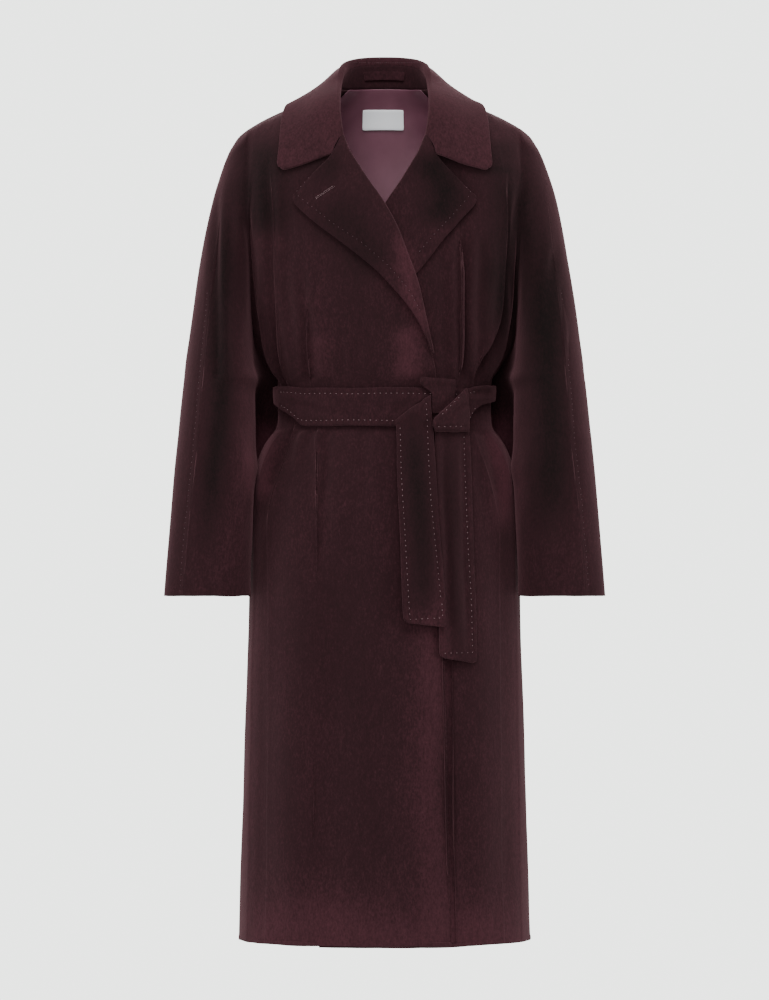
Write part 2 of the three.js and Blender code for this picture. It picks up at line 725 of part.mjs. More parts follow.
const TOP_ROWS = 4; // rows over which the bend of the lapel's upper edge runs out
const NOTCH_SHARE = 0.25; // of the way along that edge

function addLapel(side, name) {
  const edge = LAPELS[name];
  const rows = LAPEL_ROWS.map((z, i) => {
    const radius = rollRadius(z);
    const { point, normal, across } = rollFrame(side, z);
    const start = point.clone().addScaledVector(across, ROLL_SHIFT);
    const roll = ROLL_TURNS.map((turn) => {
      const [s, c] = [Math.sin(rad(turn)), Math.cos(rad(turn))];
      const up = radius - CLOTH + radius * s;
      const turned = start.clone().addScaledVector(across, radius * c).addScaledVector(normal, up);
      return withDepth(turned, Math.min(ROLL_CLOTH, radius * ROLL_SOLID));
    });
    const from = { reach: -FRONT_EDGE.at('reach', z), z };
    const to = { reach: edge.at('reach', z), z: edge.at('low', z) };
    if (i === 0) to.reach -= TIP_ROUND;
    const top = 2 * radius - CLOTH;
    const face = shares(LAPEL_COLUMNS).slice(1).map((t) => {
      const straight = { reach: lerp(from.reach, to.reach, t), z: lerp(from.z, to.z, t) };
      const bent = lapelTop(t, edge);
      const bend = Math.max(0, 1 - i / TOP_ROWS);
      const reach = straight.reach + bend * bent.reach;
      const height = straight.z + bend * bent.z;
      const lift = top + LAPEL_BULGE * Math.sin(Math.PI * t) * (radius / ROLL_RADIUS.full) ** 2;
      return withDepth(frontSurface(side, reach, height, lift), Math.min(FOLDED_CLOTH, lift - LIE_GAP));
    });
    return [...roll, ...face];
  });
  addGrid('lapel_' + name, rows, (p) => vec(p.x, 0, p.z), FOLDED_CLOTH, COLOURS.wool);
}

// How far the lapel's upper edge bends in to the notch from a straight line between its ends.
function lapelTop(t, edge) {
  const start = { reach: -FRONT_EDGE.at('reach', GORGE_Z), z: GORGE_Z };
  const tip = { reach: edge.at('reach', GORGE_Z), z: edge.at('low', GORGE_Z) };
  const below = t < NOTCH_SHARE;
  const [a, b] = below ? [start, NOTCH] : [NOTCH, tip];
  const share = below ? t / NOTCH_SHARE : (t - NOTCH_SHARE) / (1 - NOTCH_SHARE);
  return {
    reach: lerp(a.reach, b.reach, share) - lerp(start.reach, tip.reach, t),
    z: lerp(a.z, b.z, share) - lerp(start.z, tip.z, t),
  };
}

// Collar, from the middle of the back (0) to the gorge (1): the roll's top, the middle of the fall and
// the fall's outer edge. reach is the distance from the centre plane.
const COLLAR = table('s rollReach rollY rollZ midReach midY midZ edgeReach edgeY edgeZ', [
  [0, 0, 77, 66, 0, 101, 40, 0, 106, -14],
  [0.13, 20, 75, 65.5, 27, 98, 40, 33, 102, -14],
  [0.27, 39, 66, 63, 54, 87, 38, 67, 90, -13],
  [0.4, 53, 51, 58, 75, 66, 36, 98, 66, -10],
  [0.5, 58, 33, 51, 85, 44, 30, 119, 43, -6],
  [0.6, 60, 12, 41, 92, 18, 22, 131, 16, -4],
  [0.7, 61, -12, 24, 100, -14, 10, 137, -14, -11],
  [0.8, 61.5, -58, 2, 103, -56, -11, 141, -46, -36],
  [0.9, 60, -87, -28, 103, -86, -42, 144, -76, -72],
  [1, 57.5, -100, -58, 100, -99, -90, 147, -88, -105],
]);
// The collar's front end: along the gorge to the notch, then along its lower edge to the point.
const COLLAR_END = table('t reach z', [
  [0, 63, -57],
  [0.17, 67.5, -69],
  [0.33, 72.5, -81],
  [0.5, 88, -86.5],
  [0.75, 116, -97],
  [1, 147, -105],
]);
const COLLAR_ROWS = [0, 0.13, 0.27, 0.4, 0.5, 0.6, 0.7, 0.8, 0.9, 1];
const COLLAR_COLUMNS = 6;
const COLLAR_ROLL = { back: 5.6, front: 4.3 };
const COLLAR_ROLL_CLOTH = { most: 3, end: 2.3, rim: 2 };
const COLLAR_LIFT = 6.8;
const GORGE_GAP = 1.6; // in height, between the collar's end and the lapel
const STAND_DROP = 6; // the seam between collar and stand, below the roll's inner side
const MIN_DROP = 0.5;
const ROLL_LIP = -0.12; // share of a roll's step that its inner rim runs on where no stand hangs from it
// Where the stand meets the neck edge of the fronts and backs.
const NECK = table('s reach y z', [
  [0, 0, 72, 20],
  [0.2, 24, 69.3, 19.4],
  [0.4, 48, 57.9, 17.8],
  [0.6, 72, 6, 15],
  [0.72, 71.5, -36, 5],
  [0.85, 69, -64, -15],
  [1, 60, -92, -55],
]);

const collarCurve = (s, part) => {
  const [m, side] = [Math.abs(s), s < 0 ? -1 : 1];
  if (m === 1 && part === 'roll') {
    const { point, normal, across } = rollFrame(side, GORGE_Z + GORGE_GAP);
    const radius = COLLAR_ROLL.front;
    return point.addScaledVector(across, ROLL_SHIFT + radius).addScaledVector(normal, radius - CLOTH);
  }
  return vec(side * COLLAR.at(part + 'Reach', m), COLLAR.at(part + 'Y', m), COLLAR.at(part + 'Z', m));
};

// Directions at the collar's roll: up to its top, and across to the side of the fall.
function collarFrame(s) {
  const side = s < 0 ? -1 : 1;
  const m = Math.abs(s);
  const front = rollFrame(side, GORGE_Z + GORGE_GAP);
  const up = vec(0, 0, 1).lerp(front.across, smooth(0.35, 1, m)).normalize();
  const along = collarCurve(Math.min(1, s + 0.05), 'roll').sub(collarCurve(Math.max(-1, s - 0.05), 'roll'));
  const fall = along.cross(up).normalize();
  const top = collarCurve(s, 'roll');
  if (fall.dot(vec(top.x, top.y - 10, top.z - 40)) < 0) fall.negate();
  const radius = lerp(COLLAR_ROLL.back, COLLAR_ROLL.front, smooth(0.5, 1, m));
  const centre = top.clone().addScaledVector(up, -radius);
  return { up, fall, radius, centre };
}

// Keeps a point of the collar this far outside the body.
function clear(point, lift) {
  const side = point.x < 0 ? -1 : 1;
  const reach = Math.abs(point.x);
  const back = point.y > ridgeY(reach, false);
  const height = Math.min(point.z, ridgeZ(reach, false) - 0.5);
  const angle = sectionAngle(reach, height);
  const surface = bodyPoint(side, angle, height, back);
  const normal = bodyNormal(side, angle, height, back);
  const distance = point.clone().sub(surface).dot(normal);
  if (distance < lift) point.addScaledVector(normal, lift - distance);
  return point;
}

function collarRow(s) {
  const [m, side] = [Math.abs(s), s < 0 ? -1 : 1];
  const { up, fall, radius, centre } = collarFrame(s);
  const roll = ROLL_TURNS.map((turn) => {
    const [sin, cos] = [Math.sin(rad(turn)), Math.cos(rad(turn))];
    const point = centre.clone().addScaledVector(up, radius * cos).addScaledVector(fall, radius * sin);
    return withDepth(point, m === 1 ? COLLAR_ROLL_CLOTH.end : COLLAR_ROLL_CLOTH.most);
  });
  const drop = STAND_DROP * (1 - smooth(0.7, 1, m));
  const hangs = drop > MIN_DROP;
  const below = hangs ? roll[0].clone().addScaledVector(up, -drop) : roll[0].clone().lerp(roll[1], ROLL_LIP);
  roll.unshift(withDepth(below, hangs ? COLLAR_ROLL_CLOTH.most : COLLAR_ROLL_CLOTH.rim));
  const start = roll[roll.length - 1];
  const mid = collarCurve(s, 'mid');
  const edge = collarCurve(s, 'edge');
  const control = mid.clone().multiplyScalar(2).addScaledVector(start, -0.5).addScaledVector(edge, -0.5);
  const face = shares(COLLAR_COLUMNS).slice(1).map((t) => {
    const point = start.clone().multiplyScalar((1 - t) ** 2);
    point.addScaledVector(control, 2 * t * (1 - t)).addScaledVector(edge, t * t);
    if (m === 1) {
      point.copy(frontSurface(side, COLLAR_END.at('reach', t), COLLAR_END.at('z', t), COLLAR_LIFT));
    }
    return withDepth(clear(point, COLLAR_LIFT), FOLDED_CLOTH);
  });
  return [...roll, ...face];
}

// Collar and stand share the seam below the roll.
function addCollar() {
  const both = (rows) => [...rows.slice(1).reverse().map((s) => -s), ...rows];
  const cloth = new Cloth();
  cloth.add('collar', both(COLLAR_ROWS).map(collarRow), (p) => vec(p.x * 0.75, p.y * 0.8, p.z - 40));
  const stand = both(STAND_ROWS).map((s) => shares(2).map((share) => standPoint(s, share)));
  cloth.add('collar_stand', stand, (p) => vec(p.x * 3, p.y * 3, p.z - 20));
  addPiece('collar', cloth.wall('collar', FOLDED_CLOTH), COLOURS.wool);
  addPiece('collar_stand', cloth.wall('collar_stand', STAND_CLOTH), COLOURS.wool);
}

// A point of the stand's inner face, from the neck edge (0) to the seam with the collar (1).
const STAND_FOOT = { up: 1, inward: 2 };
function standPoint(s, share) {
  const m = Math.abs(s);
  const side = s < 0 ? -1 : 1;
  const { up, fall } = collarFrame(s);
  const low = vec(side * NECK.at('reach', m), NECK.at('y', m), NECK.at('z', m));
  low.addScaledVector(up, STAND_FOOT.up).addScaledVector(fall, -STAND_FOOT.inward);
  return low.lerp(collarRow(s)[0], share);
}
const STAND_END = 0.8;
const STAND_ROWS = COLLAR_ROWS.filter((s) => s <= STAND_END);

// A point inside the back, this far in from the wool's inner side.
function insideBack(x, z, away) {
  const angle = sectionAngle(Math.abs(x), z);
  const side = x < 0 ? -1 : 1;
  const gather = BACK_GATHER.at('depth', z);
  return bodyPoint(side, angle, z, true, -(CLOTH + gather + away));
}
const LINING_ROWS = [
  { z: BACK_NECK_Z - 1, slope: 1, half: 60 },
  { z: 2, slope: 0.9, half: 84 },
  { z: -18, slope: 0.8, half: 122 },
  { z: -45, slope: 0.65, half: 140 },
  { z: -90, slope: 0.4, half: 156 },
  { z: -150, slope: 0.15, half: 165 },
  { z: -220, slope: 0, half: 165 },
  { z: -290, slope: 0, half: 158 },
  { z: -350, slope: 0, half: 140 },
];
const LINING_COLUMNS = 10;
const LINING_AWAY = { top: 6.2, low: 2.4 };
const LINING_NECK = { inFront: 4.4, narrower: 0.85 }; // along the neck edge
const LINING_HANG = [-120, -40];
function liningPoint(x, row) {
  const z = row.z + row.slope * (ridgeZ(Math.abs(x), true) - BACK_NECK_Z);
  if (row === LINING_ROWS[0]) return vec(x * LINING_NECK.narrower, ridgeY(x, true) - LINING_NECK.inFront, z);
  const top = smooth(LINING_HANG[0], LINING_HANG[1], row.z);
  return insideBack(x, z, lerp(LINING_AWAY.low, LINING_AWAY.top, top));
}
const FAR_BEHIND = 500; // a point on the back of what lies inside the back
function addLining() {
  const rows = LINING_ROWS.map((row) => {
    return shares(LINING_COLUMNS).map((t) => liningPoint(lerp(-row.half, row.half, t), row));
  });
  const behind = (p) => vec(p.x, p.y + FAR_BEHIND, p.z + FAR_BEHIND / 5);
  addGrid('lining_back', rows, behind, LINING_CLOTH, COLOURS.lining, SATIN_ROUGHNESS);
}

const LABEL = { left: -31.8, right: 27.6, top: -4.5, middle: -18, low: -33, cloth: 0.5, away: 8 };
const LABEL_COLUMNS = 4;
function addLabel() {
  const rows = [LABEL.top, LABEL.middle, LABEL.low].map((z) => {
    return shares(LABEL_COLUMNS).map((t) => insideBack(lerp(LABEL.left, LABEL.right, t), z, LABEL.away));
  });
  const behind = (p) => vec(p.x, p.y + FAR_BEHIND, p.z);
  addGrid('label', rows, behind, LABEL.cloth, COLOURS.label, SATIN_ROUGHNESS);
}

// The strip runs straight between the rows of the stand's grid.
const LOOP = { turns: [-0.232, -0.13, 0, 0.13, 0.225], low: 0.36, high: 0.72, cloth: 1.4, away: 1.9, bow: 1 };
function addHangerLoop() {
  const chord = (s, share) => {
    const m = Math.abs(s);
    const i = COLLAR_ROWS.findIndex((row) => row >= m);
    if (m === COLLAR_ROWS[i]) return standPoint(s, share);
    const [near, far] = [COLLAR_ROWS[i - 1], COLLAR_ROWS[i]];
    const sign = Math.sign(s);
    return standPoint(near * sign, share).lerp(standPoint(far * sign, share), (m - near) / (far - near));
  };
  const rows = LOOP.turns.map((s) => {
    const { fall } = collarFrame(s);
    const away = LOOP.away + LOOP.bow * (1 - (s / LOOP.turns[0]) ** 2);
    return [LOOP.low, LOOP.high].map((share) => chord(s, share).addScaledVector(fall, -away));
  });
  addGrid('hanger_loop', rows, (p) => vec(p.x * 3, p.y * 3, p.z), LOOP.cloth, COLOURS.wool);
}

// Belt round the waist, by the angle from the middle of the front; the wearer's left is positive.
// It is creased narrow at both sides, where the cloth above it drops over.
const BELT = table('angle top low', [
  [-180, -401, -458],
  [-140, -400, -456],
  [-112, -400, -440],
  [-92, -402, -425],
  [-78, -402, -428],
  [-66, -402, -435],
  [-54, -403, -444],
  [-45, -404, -457],
  [0, -405, -458],
  [44, -405, -457],
  [56, -401, -430],
  [66, -399, -427],
  [80, -398, -423],
  [92, -398, -422],
  [112, -400, -440],
  [140, -400, -456],
  [180, -401, -458],
]);
const BELT_SEGMENTS = 48;
const BELT_STRIPS = 3;
const BELT_LIFT = 5.6;
const BELT_BULGE = 1;

// A point off the outermost surface, by the angle round the body.
function aroundPoint(angle, z, lift) {
  const m = Math.abs(angle);
  const side = angle < 0 ? -1 : 1;
  return m <= 90 ? bodyPoint(side, rad(m), z, false, lift) : bodyPoint(side, rad(180 - m), z, true, lift);
}
function addBelt() {
  const rows = shares(BELT_SEGMENTS).map((t) => {
    const angle = lerp(-180, 180, t);
    return shares(BELT_STRIPS).map((share) => {
      const z = lerp(BELT.at('top', angle), BELT.at('low', angle), share);
      return aroundPoint(angle, z, BELT_LIFT + BELT_BULGE * Math.sin(Math.PI * share));
    });
  });
  addGrid('belt_waist', rows, (p) => vec(0, 0, p.z), FOLDED_CLOTH, COLOURS.wool);
}

// Pieces of the belt in front of the body: rows of a strip with its middle, half width and lift.
const STRIP_COLUMNS = 4;
const STRIP_BACK = 60; // a point behind the strip
function addStrip(name, strip, cloth, columns = STRIP_COLUMNS) {
  const rows = strip.map((row) => shares(columns).map((t) => {
    const u = 2 * t - 1;
    const x = row.x + row.half * u;
    const z = row.z + (row.slant ?? 0) * u;
    const lift = row.lift + (row.round ?? 0) * (1 - u * u);
    return aheadPoint(x, z, lift);
  }));
  addGrid(name, rows, (p) => vec(p.x, p.y + STRIP_BACK, p.z), cloth, COLOURS.wool);
}

// Straight ahead of the outermost front surface.
function aheadPoint(x, z, lift) {
  const point = bodyPoint(Math.sign(x) || 1, sectionAngle(Math.abs(x), z), z);
  point.y -= lift;
  return point;
}

const END_FRONT = [
  { z: -432.5, x: 40, half: 24, lift: 11.4, slant: 17.5 },
  { z: -435.5, x: 40, half: 24.4, lift: 14.4, slant: 15 },
  { z: -444, x: 40.3, half: 24.6, lift: 16.2, slant: 9 },
  { z: -458, x: 41.5, half: 25, lift: 14.6, slant: 2 },
  { z: -480, x: 43, half: 25.5, lift: 11 },
  { z: -510, x: 44, half: 26, lift: 10 },
  { z: -550, x: 46, half: 26.5, lift: 12 },
  { z: -610, x: 49, half: 27, lift: 12.8 },
  { z: -655, x: 51.5, half: 28, lift: 13 },
  { z: -700, x: 54.5, half: 29, lift: 13 },
  { z: -731, x: 56.5, half: 29, lift: 13, slant: -3 },
];
const END_UNDER = [
  { z: -444, x: 93, half: 21, lift: 13 },
  { z: -458, x: 94, half: 22, lift: 13 },
  { z: -472, x: 94.5, half: 23, lift: 10 },
  { z: -490, x: 95, half: 23.5, lift: 7.5 },
  { z: -540, x: 96, half: 24, lift: 6.2 },
  { z: -600, x: 98, half: 24.5, lift: 6.2 },
  { z: -660, x: 99.5, half: 25, lift: 6.2 },
  { z: -720, x: 101, half: 25.5, lift: 6.2 },
  { z: -779, x: 102.5, half: 25.5, lift: 6.2, slant: -4 },
];
const KNOT = [
  { z: -425, x: 92, half: 22, lift: 15.6, round: 1, slant: 20.5 },
  { z: -427.5, x: 92, half: 23.5, lift: 19, round: 2.5, slant: 19.5 },
  { z: -435, x: 92, half: 25, lift: 21.5, round: 3.5, slant: 16 },
  { z: -445, x: 92.3, half: 25.5, lift: 22.8, round: 4, slant: 10 },
  { z: -454, x: 92.6, half: 25.5, lift: 22.5, round: 4, slant: 4 },
  { z: -462, x: 93, half: 24.5, lift: 21, round: 3 },
  { z: -466, x: 93.5, half: 24, lift: 16.5, round: 1 },
];
const KNOT_CAP = [
  { z: -391, x: 75, half: 23, lift: 9.4, slant: -1.5 },
  { z: -396.5, x: 75, half: 24.5, lift: 12, slant: -1 },
  { z: -402.5, x: 76, half: 23.5, lift: 10.8 },
  { z: -411, x: 82, half: 16.5, lift: 10.6 },
  { z: -425, x: 82, half: 15.5, lift: 11 },
  { z: -440, x: 82, half: 15, lift: 11 },
];
const CAP_CLOTH = 2.6;
const KNOT_COLUMNS = 6;

addBody();
for (const { side, name } of SIDES) addLapel(side, name);
addCollar();
addLining();
addLabel();
addHangerLoop();
addBelt();
addStrip('belt_end_front', END_FRONT, FOLDED_CLOTH);
addStrip('belt_end_under', END_UNDER, FOLDED_CLOTH);
addStrip('belt_knot', KNOT, FOLDED_CLOTH, KNOT_COLUMNS);
addStrip('belt_knot_cap', KNOT_CAP, CAP_CLOTH);

export default coat;
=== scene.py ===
import bmesh
import bpy
import math
import random
import numpy
from mathutils import Matrix, Vector, noise
from mathutils.bvhtree import BVHTree
from mathutils.kdtree import KDTree


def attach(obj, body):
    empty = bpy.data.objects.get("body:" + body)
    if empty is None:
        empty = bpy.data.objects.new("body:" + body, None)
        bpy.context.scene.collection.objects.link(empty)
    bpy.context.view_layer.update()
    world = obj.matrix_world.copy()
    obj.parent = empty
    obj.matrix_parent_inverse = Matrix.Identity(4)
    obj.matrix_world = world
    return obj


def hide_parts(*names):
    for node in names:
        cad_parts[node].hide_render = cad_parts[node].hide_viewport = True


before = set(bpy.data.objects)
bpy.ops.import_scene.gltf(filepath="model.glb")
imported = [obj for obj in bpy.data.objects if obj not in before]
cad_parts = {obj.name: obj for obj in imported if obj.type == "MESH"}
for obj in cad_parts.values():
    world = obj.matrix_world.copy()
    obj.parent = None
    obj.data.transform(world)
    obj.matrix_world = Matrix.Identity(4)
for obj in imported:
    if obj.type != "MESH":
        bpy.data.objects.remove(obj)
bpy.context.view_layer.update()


# Studio: the picture is taken from 8 m in front, level with the coat's middle, with a long lens.
# The coat is held at its shoulders, so the pale floor lies well below the hem. The light is soft and
# comes from all round, most of it from above, so the pile is lightest where it turns away.
CAMERA_AWAY = 8.0
CAMERA_HEIGHT = -0.56
VIEW_HEIGHT = 1.4
BACKDROP = "#e5e8e5"
BACKDROP_GLOW = 3.9  # how bright the empty backdrop itself looks
AMBIENT = 1.1  # how strongly it lights the coat


def colour(code):
    """An sRGB hex code as linear red, green, blue and alpha."""
    parts = [int(code[i : i + 2], 16) / 255 for i in (1, 3, 5)]
    linear = [p / 12.92 if p <= 0.04045 else ((p + 0.055) / 1.055) ** 2.4 for p in parts]
    return (*linear, 1.0)


def add_node(tree, kind, inputs=None, **settings):
    """Adds a node with its settings, and links or sets its inputs."""
    made = tree.nodes.new(kind)
    for key, value in settings.items():
        setattr(made, key, value)
    for key, value in (inputs or {}).items():
        if isinstance(value, bpy.types.NodeSocket):
            tree.links.new(value, made.inputs[key])
        else:
            made.inputs[key].default_value = value
    return made


camera = bpy.data.objects.new("camera", bpy.data.cameras.new("camera"))
bpy.context.scene.collection.objects.link(camera)
camera.location = (0, -CAMERA_AWAY, CAMERA_HEIGHT)
camera.rotation_euler = (math.radians(90), 0, 0)
camera.data.sensor_width = 36
camera.data.lens = 36 * CAMERA_AWAY / VIEW_HEIGHT
camera.data.clip_end = 100
bpy.context.scene.camera = camera

world = bpy.data.worlds.new("studio")
bpy.context.scene.world = world
world.use_nodes = True
sky = world.node_tree
sees_backdrop = add_node(sky, "ShaderNodeLightPath").outputs["Is Camera Ray"]
glow = add_node(
    sky, "ShaderNodeMapRange", {"Value": sees_backdrop, "To Min": AMBIENT, "To Max": BACKDROP_GLOW}
)
sky.nodes["Background"].inputs["Color"].default_value = colour(BACKDROP)
sky.links.new(glow.outputs[0], sky.nodes["Background"].inputs["Strength"])

LIGHTS = {
    # name: place, width, height, watts
    "overhead": ((0.0, -2.6, 3.2), 3.0, 2.0, 210),
    "left_side": ((-3.4, -1.0, -0.4), 1.6, 2.6, 80),
    "right_side": ((3.4, -1.0, -0.4), 1.6, 2.6, 75),
    "front_fill": ((-1.0, -6.0, 0.4), 3.0, 2.0, 130),
    "behind": ((0.0, 3.6, 0.8), 2.4, 2.0, 130),
}
for name, (place, width, height, watts) in LIGHTS.items():
    lamp = bpy.data.objects.new(name, bpy.data.lights.new(name, "AREA"))
    bpy.context.scene.collection.objects.link(lamp)
    lamp.location = place
    lamp.rotation_euler = (Vector((0, 0, -0.5)) - lamp.location).to_track_quat("-Z", "Y").to_euler()
    lamp.data.shape = "RECTANGLE"
    lamp.data.size = width
    lamp.data.size_y = height
    lamp.data.energy = watts

floor_mesh = bmesh.new()
bmesh.ops.create_circle(floor_mesh, cap_ends=True, segments=64, radius=1.6)
bmesh.ops.translate(floor_mesh, verts=floor_mesh.verts, vec=(0, 0, -1.8))
floor = bpy.data.objects.new("floor", bpy.data.meshes.new("floor"))
floor_mesh.to_mesh(floor.data)
floor_mesh.free()
bpy.context.scene.collection.objects.link(floor)
floor_paint = bpy.data.materials.new("pale_floor_paint")
floor_paint.use_nodes = True
floor_paint.node_tree.nodes["Principled BSDF"].inputs["Base Color"].default_value = colour(BACKDROP)
floor_paint.node_tree.nodes["Principled BSDF"].inputs["Roughness"].default_value = 0.9
floor.data.materials.append(floor_paint)


# Fronts and backs: brushed wool coating, one layer, each cut in one with half a sleeve. They are sewn over
# the arm, under the arm and down the sides. The folds hang from the shoulders into the belt. The pile is
# brushed downwards, and the cloth's colour is made darker or lighter partly by the way the pile lies and
# partly as painted light and shade.
MM = 0.001
WOOL = {"deep": "#070303", "middle": "#1e0c10", "light": "#3d1f26", "sheen": "#96666f"}
FLECK_MM = 2.2  # tufts of the pile, coarser than the real ones, so that they show
SLUB_MM = 7.0
CLOUD_MM = 60.0
NEUTRAL = 0.5  # the nap's tone where the pile lies straight down


def wool(name, painted_light_tone=0.0):
    """Brushed wool: a short pile that hides the weave, dark face on and lighter where it turns away. Its
    colour follows each vertex's painted light and shade, laid together with the pile's lie, and the second
    argument shifts the whole piece lighter or darker as painted light.
    """
    material = bpy.data.materials.new(name)
    material.use_nodes = True
    tree = material.node_tree
    shader = tree.nodes["Principled BSDF"]
    place = add_node(tree, "ShaderNodeTexCoord").outputs["Object"]
    down = add_node(tree, "ShaderNodeMapping", {"Vector": place, "Scale": (1, 1, 0.45)}).outputs[0]
    nap_and_painted_light = add_node(tree, "ShaderNodeAttribute", attribute_name="nap_and_painted_light").outputs["Fac"]
    clouds = add_node(
        tree, "ShaderNodeTexNoise", {"Vector": down, "Scale": 1 / (CLOUD_MM * MM), "Detail": 2.0}
    ).outputs["Fac"]
    slubs = add_node(
        tree, "ShaderNodeTexNoise",
        {"Vector": down, "Scale": 1 / (SLUB_MM * MM), "Detail": 2.0, "Roughness": 0.6},
    ).outputs["Fac"]
    flecks = add_node(
        tree, "ShaderNodeTexNoise",
        {"Vector": down, "Scale": 1 / (FLECK_MM * MM), "Detail": 3.0, "Roughness": 0.75},
    ).outputs["Fac"]
    # The vertex tones are painted light and shade together with the pile's lie.
    total = nap_and_painted_light
    for pattern, share in ((clouds, 0.08), (slubs, 0.1), (flecks, 0.34)):
        part = add_node(
            tree, "ShaderNodeMapRange",
            {"Value": pattern, "From Min": 0.25, "From Max": 0.75, "To Min": -share / 2, "To Max": share / 2},
            clamp=False,
        )
        total = add_node(tree, "ShaderNodeMath", {0: total, 1: part.outputs[0]}, operation="ADD").outputs[0]
    # Painted light: the whole piece is made lighter or darker.
    shifted = add_node(tree, "ShaderNodeMath", {0: total, 1: painted_light_tone}, operation="ADD").outputs[0]
    ramp = add_node(tree, "ShaderNodeValToRGB", {"Fac": shifted})
    ramp.color_ramp.elements[0].position = 0.0
    ramp.color_ramp.elements[0].color = colour(WOOL["deep"])
    ramp.color_ramp.elements[1].position = 1.0
    ramp.color_ramp.elements[1].color = colour(WOOL["light"])
    middle = ramp.color_ramp.elements.new(NEUTRAL)
    middle.color = colour(WOOL["middle"])
    tree.links.new(ramp.outputs["Color"], shader.inputs["Base Color"])
    pile = add_node(tree, "ShaderNodeMath", {0: flecks, 1: slubs}, operation="ADD").outputs[0]
    bump = add_node(tree, "ShaderNodeBump", {"Height": pile, "Strength": 0.3, "Distance": 0.001})
    tree.links.new(bump.outputs[0], shader.inputs["Normal"])
    shader.inputs["Roughness"].default_value = 0.95
    shader.inputs["Specular IOR Level"].default_value = 0.1
    shader.inputs["Sheen Weight"].default_value = 0.28
    shader.inputs["Sheen Roughness"].default_value = 0.5
    shader.inputs["Sheen Tint"].default_value = colour(WOOL["sheen"])
    return material


def islands(faces, borders):
    """Groups of faces that no border edge parts."""
    left = set(faces)
    while left:
        start = left.pop()
        group, stack = [start], [start]
        while stack:
            for edge in stack.pop().edges:
                if edge in borders:
                    continue
                for other in edge.link_faces:
                    if other in left:
                        left.remove(other)
                        group.append(other)
                        stack.append(other)
        yield group


SLEEVE_X, SLEEVE_Y = 0.232, -0.025  # the middle of a sleeve
SLEEVE_STARTS, SLEEVE_ENDS = 0.19, -0.72  # how far out it starts, and how low it ends


def axis_of(point, arm):
    """The middle of the body, or of the sleeve that the point is on, at its height."""
    if arm and abs(point.x) > SLEEVE_STARTS and point.z > SLEEVE_ENDS:
        return Vector((math.copysign(SLEEVE_X, point.x), SLEEVE_Y, point.z))
    return Vector((0, 0, point.z))


def made_fine(piece):
    """The piece's mesh with its modifiers applied."""
    ready = piece.evaluated_get(bpy.context.evaluated_depsgraph_get())
    return bpy.data.meshes.new_from_object(ready)


OUTER, INNER = 0, 1
THIN = 1.15  # a face with an edge shorter than this many thicknesses is on a rim
RIM_CREASE = 0.5
PULL_BACKS = 2  # times the smooth surface is pulled back to the CAD's points
PULL_SHARE = 0.9


def dress(node, thick, rim_angle=50, levels=3, arm=False, cuts=()):
    """A fine smooth copy of a CAD wall, which passes through the CAD wall's own points. Its rims are
    a little rounded."""
    piece = bpy.data.objects.new(node + "_cloth", bpy.data.meshes.new(node + "_cloth"))
    bpy.context.scene.collection.objects.link(piece)
    shape = bmesh.new()
    shape.from_mesh(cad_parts[node].data)
    bmesh.ops.remove_doubles(shape, verts=shape.verts, dist=1e-5)
    thin = {f for f in shape.faces if min(e.calc_length() for e in f.edges) < thick * MM * THIN}
    sharp = math.radians(rim_angle)
    borders = {
        e for e in shape.edges
        if e.calc_face_angle_signed(0) > sharp and any(f in thin for f in e.link_faces)
    }
    for group in islands(shape.faces, borders):
        facing = 0
        for face in group:
            middle = face.calc_center_median()
            facing += face.calc_area() * face.normal.dot(middle - axis_of(middle, arm))
        for face in group:
            face.material_index = OUTER if facing > 0 else INNER
            face.smooth = True
    for edge in borders:
        edge.smooth = False
    bmesh.ops.join_triangles(
        shape, faces=shape.faces, cmp_sharp=True, cmp_materials=True,
        angle_face_threshold=math.pi, angle_shape_threshold=math.pi,
    )
    for height in cuts:
        geometry = shape.verts[:] + shape.edges[:] + shape.faces[:]
        bmesh.ops.bisect_plane(shape, geom=geometry, plane_co=(0, 0, height * MM), plane_no=(0, 0, 1))
    crease = shape.edges.layers.float.new("crease_edge")
    for edge in shape.edges:
        if not edge.smooth:
            edge[crease] = RIM_CREASE
            edge.smooth = True
    shape.to_mesh(piece.data)
    shape.free()
    goals = [vert.co.copy() for vert in piece.data.vertices]
    smooth = piece.modifiers.new("smooth", "SUBSURF")
    smooth.levels = smooth.render_levels = 1
    for _ in range(PULL_BACKS):
        rounded = made_fine(piece)
        for vert, moved, goal in zip(piece.data.vertices, rounded.vertices, goals):
            vert.co += PULL_SHARE * (goal - moved.co)
        bpy.data.meshes.remove(rounded)
    smooth.levels = smooth.render_levels = levels
    fine = made_fine(piece)
    piece.modifiers.clear()
    piece.data = fine
    return piece


def values_of(collection, name, width, kind=float):
    """One property of every vertex, loop or polygon, as rows."""
    values = numpy.empty(len(collection) * width, dtype=kind)
    collection.foreach_get(name, values)
    return values.reshape(-1, width) if width > 1 else values


